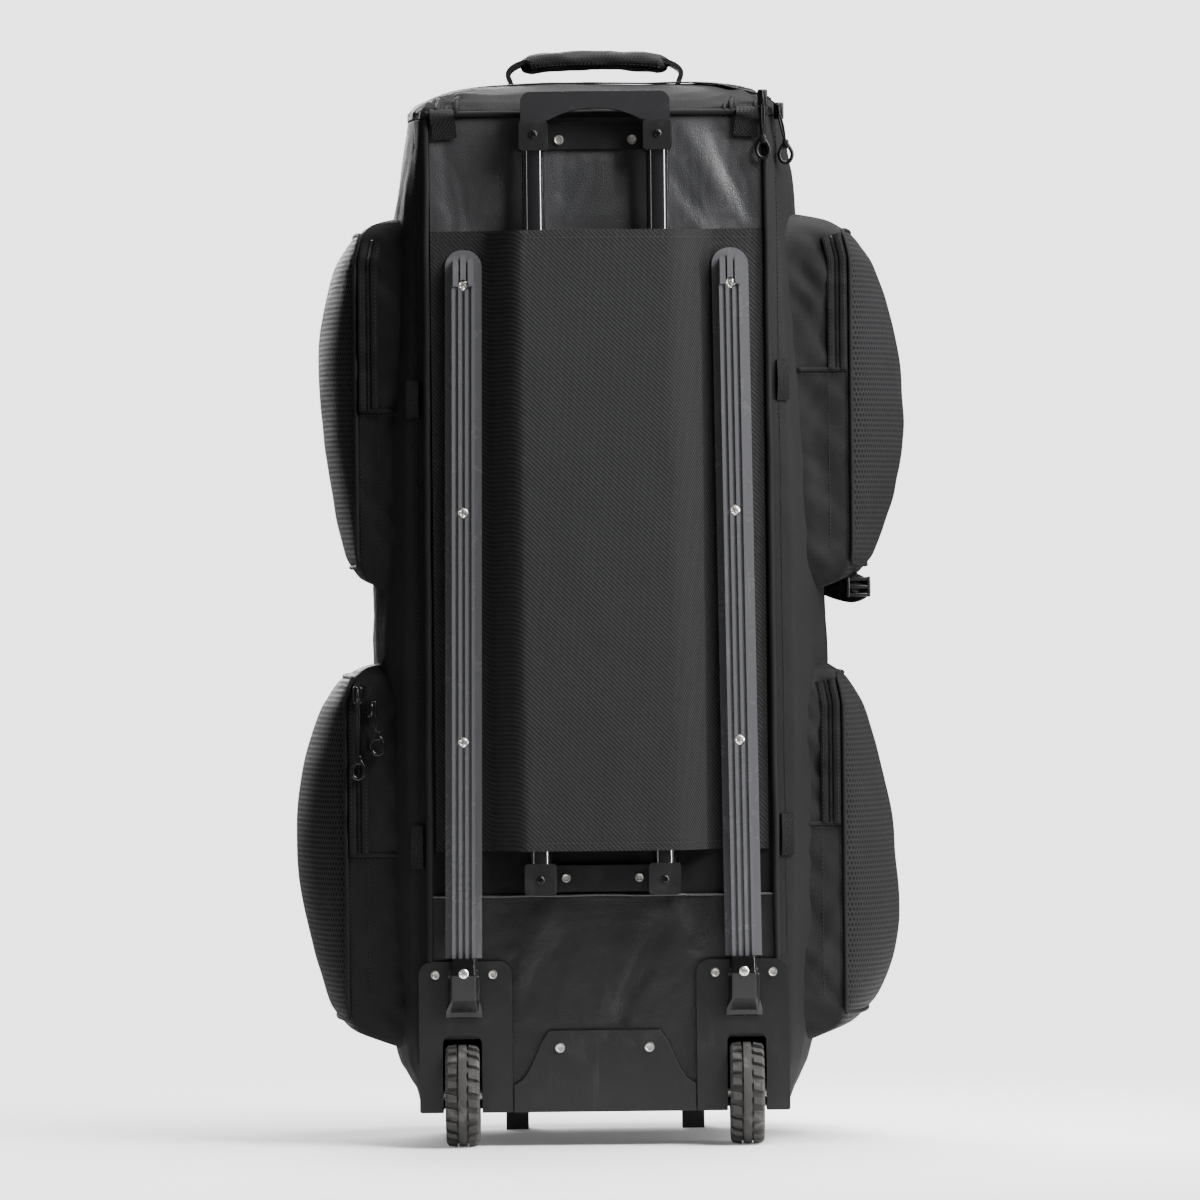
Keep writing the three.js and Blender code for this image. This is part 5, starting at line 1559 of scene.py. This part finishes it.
def make_handle():
    """The webbing strap that arches over the lid, and its padded wrap."""
    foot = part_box("top_lid")[1].z - 2 * MM
    half = [Vector((x * MM, HANDLE_Y, foot + z * MM)) for x, z in HANDLE_ARCH]
    whole = half + [Vector((-place.x, place.y, place.z)) for place in reversed(half[:-1])]
    line = smooth_line(whole, 120)

    def out(place):
        """Up over the arch, and sideways on its two feet."""
        if abs(place.x) < STRAP_TURN_X:
            return Vector((place.x * 6, 0, 1)).normalized()
        return Vector((math.copysign(1, place.x), 0, 0.15)).normalized()

    strap = band("strap", line, out, STRAP_HALF, STRAP_THICK, columns=7)
    finish_piece(strap, "carry_webbing", "webbing", replaced=("carry_strap",), smooth=60)
    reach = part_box("carry_wrap")[1].x + WRAP_PAST
    centre = [place for place in line if abs(place.x) < reach and place.z > foot + WRAP_FOOT]
    centre = spread(centre, WRAP_ROWS)
    rows, last = [], WRAP_ROWS - 1
    for i, place in enumerate(centre):
        along = (centre[min(i + 1, last)] - centre[max(i - 1, 0)]).normalized()
        size = min(1.0, 0.42 + 0.58 * math.sqrt(min(1.0, min(i, last - i) / 6)))
        rows.append(wrap_ring(place, Vector((-along.z, 0, along.x)), size))
    for end in (0, -1):
        middle = sum(rows[end][:-1], Vector()) / WRAP_SIDES
        rows.insert(0 if end == 0 else len(rows), [middle.lerp(place, 0.35) for place in rows[end]])
        tip = [middle.copy() for _ in range(WRAP_SIDES + 1)]
        rows.insert(0 if end == 0 else len(rows), tip)
    wrap = cloth_grid("wrap", rows)
    outward(wrap)
    finish_piece(wrap, "padded_wrap", "wrap", replaced=("carry_wrap",), smooth=60)
    seam = [place + Vector((0, -20.5 * MM, -4.6 * MM)) for place in centre[5:-5]]
    stitches = stitch_line("wrap_seam", seam, (0, -0.85, -0.5))
    finish_piece(stitches, "wrap_stitches", "thread", smooth=0)


# Wheels

TYRE_SIDES, LUGS = 96, 22
HUB_RADIUS = 30.4 * MM
# Half a tyre's section: shares of its half width, with mm out from the hub and then mm in from the rim
TYRE_WALL = ((-0.78, 0), (-0.9, 2.5))
TYRE_TREAD = ((-1.0, 11), (-0.98, 6.5), (-0.86, 4.2), (-0.5, 3.2), (-0.26, 3.0), (-0.22, 0.4), (0.0, 0.1))
# A shoulder block's rows: height in mm, share of the tyre's half width, share of the block's width
LUG_ROWS = ((-7.5, 0.99, 1.0), (-3.4, 0.97, 0.95), (-0.9, 0.84, 0.8), (0.0, 0.36, 0.72), (-4.2, 0.3, 0.9))
LUG_FILLED = 0.56
LUG_SLANT = 2.2 * MM


def turned(name, profile, sides, place_at):
    """A closed form turned round an axis; place_at gives the place of a profile's point from its two offsets."""
    rows = []
    for step in range(sides + 1):
        turn = 2 * math.pi * (step % sides) / sides
        rows.append([place_at(along, far * math.cos(turn), far * math.sin(turn)) for along, far in profile])
    made = cloth_grid(name, rows)
    outward(made)
    return made


def make_wheels():
    """Tyres with a middle ridge, slanted blocks on both shoulders and rounded walls."""
    for name in ("left", "right"):
        low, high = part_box("tyre_" + name)
        centre = (low + high) / 2
        half, radius = (high.x - low.x) / 2, (high.z - low.z) / 2
        near = [(share * half, HUB_RADIUS + out * MM) for share, out in TYRE_WALL]
        near += [(share * half, radius - inward * MM) for share, inward in TYRE_TREAD]
        profile = near + [(-along, far) for along, far in reversed(near[:-1])] + [near[0]]
        carcass = turned("carcass", profile, TYRE_SIDES, lambda along, y, z: centre + Vector((along, y, z)))
        blocks = []
        for way in (-1, 1):
            for step in range(LUGS):
                turn = 2 * math.pi * (step + (0.5 if way > 0 else 0)) / LUGS
                blocks.append(lug_place(centre, turn, way, radius))
        lugs = repeated("lugs", lug_template(half, radius), blocks)
        tyre, node = joined([carcass, lugs]), "tyre_" + name
        finish_piece(tyre, "treaded_" + node, "rubber", "wheel_" + name, (node,), smooth=30)


def lug_template(half, radius):
    """One shoulder block, narrower on its face, that runs down over the tyre's wall."""
    half_block = 2 * math.pi * radius / LUGS * LUG_FILLED / 2
    corners = []
    for height, out, share in LUG_ROWS:
        for way in (-1, 1):
            corners.append((half * out, way * half_block * share + LUG_SLANT * (1 - out), height * MM))
    faces = [(2 * row, 2 * row + 1, 2 * row + 3, 2 * row + 2) for row in range(4)]
    faces += [(8, 9, 1, 0), (0, 2, 4, 6, 8), (9, 7, 5, 3, 1)]
    return corners, faces


def lug_place(centre, turn, way, radius):
    """Where one block stands: out along the radius, mirrored by a half turn on the far shoulder."""
    out = Vector((0, math.cos(turn), math.sin(turn)))
    x = Vector((way, 0, 0))
    matrix = Matrix((x, out.cross(x), out)).transposed().to_4x4()
    matrix.translation = centre + out * (radius - 0.1 * MM)
    return matrix


STRAP_END = (
    (198, -70, 505), (212, -84, 497), (222, -92, 490), (231, -92, 484),
    (222, -84, 479), (208, -74, 482), (194, -66, 488),
)
BUCKLE_CENTRE = Vector((227, -95, 485)) * MM
# Low and high corners of the ladder buckle's bars from its middle, in mm
BUCKLE_BARS = tuple(((-9, -2.4, z - 1.6), (9, 2.0, z + 1.6)) for z in (-7, 0, 7))
BUCKLE_BARS += tuple(((x - 1.5, -2.6, -9), (x + 1.5, 2.2, 9)) for x in (-9, 9))
LOOP_KNOTS = ((-8, 0, -4), (-7, -2, 5), (0, -3, 9), (7, -2, 5), (8, 0, -4))


def make_buckle():
    """The strap end and ladder buckle below the upper right pocket, and small loops on the lower pockets."""
    line = smooth_line([Vector(place) * MM for place in STRAP_END], 40)
    strap = band("strap", line, Vector((0.2, -1, 0.1)).normalized(), 8 * MM, 1.5 * MM)
    # The strap is webbing that sits in shade below the pocket; it takes the wrap's cloth, 1.6 times the cloth colour
    # against the webbing's 0.9, as painted light.
    finish_piece(strap, "side_strap", "wrap", smooth=60)
    bars = []
    for low, high in BUCKLE_BARS:
        bars.append(block(BUCKLE_CENTRE + Vector(low) * MM, BUCKLE_CENTRE + Vector(high) * MM, 0.9 * MM))
    finish_piece(joined(bars), "side_buckle", "plastic", smooth=50)
    loops = []
    for pocket in POCKETS:
        if pocket["name"].startswith("lower"):
            top = PocketCloth(pocket).gusset(0.985, 0.45, "back")
            knots = [top + Vector(knot) * MM for knot in LOOP_KNOTS]
            loops.append(band("loop", smooth_line(knots, 24), BACKWARD, 1.6 * MM, 1.4 * MM, columns=3))
    finish_piece(joined(loops), "pocket_loops", "webbing", smooth=60)


# Finishes of the CAD nodes, and the round tubes

NODE_FINISHES = (
    ("plastic", ("upper_bracket", "lower_bracket", "kick_plate", "foot_left", "foot_right")),
    ("plastic", ("wheel_housing_left", "wheel_housing_right", "hub_left", "hub_right")),
    ("gloss_plastic", ("rail_foot_left", "rail_foot_right")),
    ("rail", ("rail_left", "rail_right")),
    ("grip", ("trolley_grip",)),
    ("metal", ("axle_left", "axle_right")),
)
BEVELLED = ("upper_bracket", "lower_bracket", "rail_left", "rail_right", "rail_foot_left", "rail_foot_right")
BEVELLED += ("wheel_housing_left", "wheel_housing_right", "kick_plate", "foot_left", "foot_right", "trolley_grip")

EASED = {
    "trolley_grip": 3.0,
    "wheel_housing": 1.3,
    "kick_plate": 1.3,
    "upper_bracket": 1.0,
    "lower_bracket": 1.0,
    "rail_foot": 0.9,
}
EASED_ELSE = 0.6


def dress_nodes():
    """Finishes of the CAD nodes that stay, with their sharp edges eased."""
    for finish, nodes in NODE_FINISHES:
        for node in nodes:
            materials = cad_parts[node].data.materials
            materials.clear()
            materials.append(FINISHES[finish])
    for node in BEVELLED:
        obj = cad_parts[node]
        weld = obj.modifiers.new("Weld", "WELD")
        weld.merge_threshold = SAME_PLACE
        ease = obj.modifiers.new("Eased edges", "BEVEL")
        ease.width = EASED.get(node.removesuffix("_left").removesuffix("_right"), EASED_ELSE) * MM
        ease.segments = 3
        ease.limit_method = "ANGLE"
        ease.angle_limit = math.radians(35)


TUBE_SIDES = 72


def make_tubes():
    """The four trolley tubes, hollow as in the frame and fully round."""
    for part, body in (("outer_tube_", "body"), ("inner_tube_", "trolley")):
        for side in ("left", "right"):
            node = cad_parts[part + side]
            low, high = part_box(part + side)
            middle = (low + high) / 2
            outer = (high.x - low.x) / 2
            bore = min((node.matrix_world @ v.co - middle).xy.length for v in node.data.vertices)
            profile = ((low.z, bore), (low.z, outer), (high.z, outer), (high.z, bore), (low.z, bore))
            tube = turned("tube", profile, TUBE_SIDES, lambda z, x, y: Vector((middle.x + x, middle.y + y, z)))
            finish_piece(tube, "round_" + part + side, "tube", body, (part + side,), smooth=40)


# Stage, lights and camera

CAMERA_DISTANCE = 8.0
SURROUND = 0.17
BACKDROP = 3.1
REFERENCE_Y = -0.17
CAMERA_AIM = Vector((0.0, REFERENCE_Y, 0.476))
CAMERA_RISE = 0.25
CAMERA_ROLL = 0.6
FRAME_WIDTH = 1.044


def make_stage():
    """A pale floor whose edge fades into the surroundings."""
    bpy.ops.object.select_all(action="DESELECT")
    bpy.ops.mesh.primitive_circle_add(vertices=96, radius=FLOOR_RADIUS, fill_type="NGON", location=(0, 0, 0))
    floor = bpy.context.active_object
    floor.name = "pale_floor"
    floor.data.materials.append(stage_material())


def area_light(name, place, aim, size, power):
    """A soft rectangular light aimed at a place."""
    data = bpy.data.lights.new(name, "AREA")
    data.shape = "RECTANGLE"
    data.size, data.size_y = size
    data.energy = power
    light = bpy.data.objects.new(name, data)
    bpy.context.scene.collection.objects.link(light)
    light.location = place
    light.rotation_mode = "QUATERNION"
    light.rotation_quaternion = (Vector(aim) - Vector(place)).to_track_quat("-Z", "Y")


# Name, place, aim, width and height, and power in watts
LIGHTS = (
    ("key", (1.3, -1.2, 1.95), (0.05, -0.15, 0.7), (1.0, 1.1), 132.0),
    ("top", (0.5, 0.3, 2.8), (0.1, 0.0, 0.4), (1.6, 1.2), 150.0),
    ("far_side", (-0.7, 3.0, 1.6), (0.0, 0.1, 0.5), (1.6, 1.6), 300.0),
    ("right_strip", (2.0, -0.8, 0.75), (0.0, -0.17, 0.7), (0.25, 1.8), 80.0),
    ("left_strip", (-2.0, -0.8, 0.75), (0.0, -0.17, 0.7), (0.12, 1.8), 7.0),
)


def make_lights():
    """Pale surroundings, a soft key from the upper right, and softer lights from above, behind and the sides."""
    world = bpy.data.worlds.new("studio")
    world.use_nodes = True
    tree = world.node_tree
    background = tree.nodes["Background"]
    background.inputs["Color"].default_value = (1.0, 1.0, 1.0, 1.0)
    seen = tree.nodes.new("ShaderNodeLightPath").outputs["Is Camera Ray"]
    strength = maths(tree, "MULTIPLY_ADD", seen, BACKDROP - SURROUND, SURROUND)
    tree.links.new(strength, background.inputs["Strength"])
    bpy.context.scene.world = world
    for row in LIGHTS:
        area_light(*row)


def make_camera():
    """The photograph's view: nearly level, from far back, with a slight roll."""
    data = bpy.data.cameras.new("camera")
    data.sensor_width = 36.0
    data.lens = data.sensor_width * CAMERA_DISTANCE / FRAME_WIDTH
    data.clip_end = 100.0
    camera = bpy.data.objects.new("camera", data)
    bpy.context.scene.collection.objects.link(camera)
    rise = math.radians(CAMERA_RISE)
    back = Vector((0.0, -math.cos(rise), math.sin(rise)))
    camera.location = CAMERA_AIM + back * CAMERA_DISTANCE
    camera.rotation_mode = "QUATERNION"
    look = (-back).to_track_quat("-Z", "Y")
    roll = Matrix.Rotation(math.radians(-CAMERA_ROLL), 4, "Z").to_quaternion()
    camera.rotation_quaternion = look @ roll
    bpy.context.scene.camera = camera


# Operators


class Maker:
    """What the operators share: each makes its group of pieces in order"""

    makers = ()

    def execute(self, context):
        """Makes the pieces."""
        for make in self.makers:
            make()
        return {"FINISHED"}


class BAG_OT_body(Maker, bpy.types.Operator):
    """Make the sewn body and its crowned lid"""

    bl_idname = "bag.body"
    bl_label = "Body and lid"
    makers = (make_body, make_lid)


class BAG_OT_panels(Maker, bpy.types.Operator):
    """Make the vinyl panels of the back"""

    bl_idname = "bag.panels"
    bl_label = "Vinyl panels"
    makers = (make_vinyl,)


class BAG_OT_sleeve(Maker, bpy.types.Operator):
    """Make the woven sleeve over the trolley tubes"""

    bl_idname = "bag.sleeve"
    bl_label = "Woven sleeve"
    makers = (make_sleeve,)


class BAG_OT_pockets(Maker, bpy.types.Operator):
    """Make the four side pockets"""

    bl_idname = "bag.pockets"
    bl_label = "Side pockets"
    makers = (make_pockets,)


class BAG_OT_trims(Maker, bpy.types.Operator):
    """Make the piping, tabs, tucks and side strap"""

    bl_idname = "bag.trims"
    bl_label = "Piping and tabs"
    makers = (make_piping, make_tabs, make_tucks, make_buckle)


class BAG_OT_zips(Maker, bpy.types.Operator):
    """Make the main zip and all the pulls"""

    bl_idname = "bag.zips"
    bl_label = "Main zip and pulls"
    makers = (make_main_zip, make_pulls)


class BAG_OT_handle(Maker, bpy.types.Operator):
    """Make the carry handle with its padded wrap"""

    bl_idname = "bag.handle"
    bl_label = "Carry handle"
    makers = (make_handle,)


class BAG_OT_wheels(Maker, bpy.types.Operator):
    """Make the round tubes and the treaded tyres"""

    bl_idname = "bag.wheels"
    bl_label = "Tubes and tyres"
    makers = (make_tubes, make_wheels)


class BAG_OT_fasteners(Maker, bpy.types.Operator):
    """Make the rivets and screws"""

    bl_idname = "bag.fasteners"
    bl_label = "Rivets and screws"
    makers = (make_fasteners,)


class BAG_OT_frame_finishes(Maker, bpy.types.Operator):
    """Give the moulded and metal nodes their finishes"""

    bl_idname = "bag.frame_finishes"
    bl_label = "Frame finishes"
    makers = (dress_nodes,)


class BAG_OT_stage(Maker, bpy.types.Operator):
    """Set the pale floor, the lights and the camera"""

    bl_idname = "bag.stage"
    bl_label = "Stage"
    makers = (make_stage, make_lights, make_camera)


class BAG_PT_panel(bpy.types.Panel):
    """Lists the bag's sizes, colours and pieces"""

    bl_idname = "BAG_PT_panel"
    bl_label = "Kit bag"
    bl_space_type = "VIEW_3D"
    bl_region_type = "UI"
    bl_category = "Kit bag"

    def draw(self, context):
        """Draws the values and the buttons."""
        for group in (context.scene.bag_sizes, context.scene.bag_colours):
            for name in group.__annotations__:
                self.layout.prop(group, name)
        for operator in OPERATORS:
            self.layout.operator(operator.bl_idname)


OPERATORS = (
    BAG_OT_frame_finishes,
    BAG_OT_body,
    BAG_OT_panels,
    BAG_OT_sleeve,
    BAG_OT_pockets,
    BAG_OT_trims,
    BAG_OT_zips,
    BAG_OT_handle,
    BAG_OT_wheels,
    BAG_OT_fasteners,
    BAG_OT_stage,
)
CLASSES = (BagSizes, BagColours, *OPERATORS, BAG_PT_panel)


def register():
    """Adds the panel, its operators and its values to Blender."""
    for each in CLASSES:
        bpy.utils.register_class(each)
    bpy.types.Scene.bag_sizes = bpy.props.PointerProperty(type=BagSizes)
    bpy.types.Scene.bag_colours = bpy.props.PointerProperty(type=BagColours)


def unregister():
    """Takes the same things away again."""
    del bpy.types.Scene.bag_colours
    del bpy.types.Scene.bag_sizes
    for each in reversed(CLASSES):
        bpy.utils.unregister_class(each)


def main():
    """Registers the add-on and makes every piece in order."""
    register()
    FINISHES.update(make_materials())
    for operator in OPERATORS:
        area, name = operator.bl_idname.split(".")
        getattr(getattr(bpy.ops, area), name)()


if __name__ == "__main__":
    main()
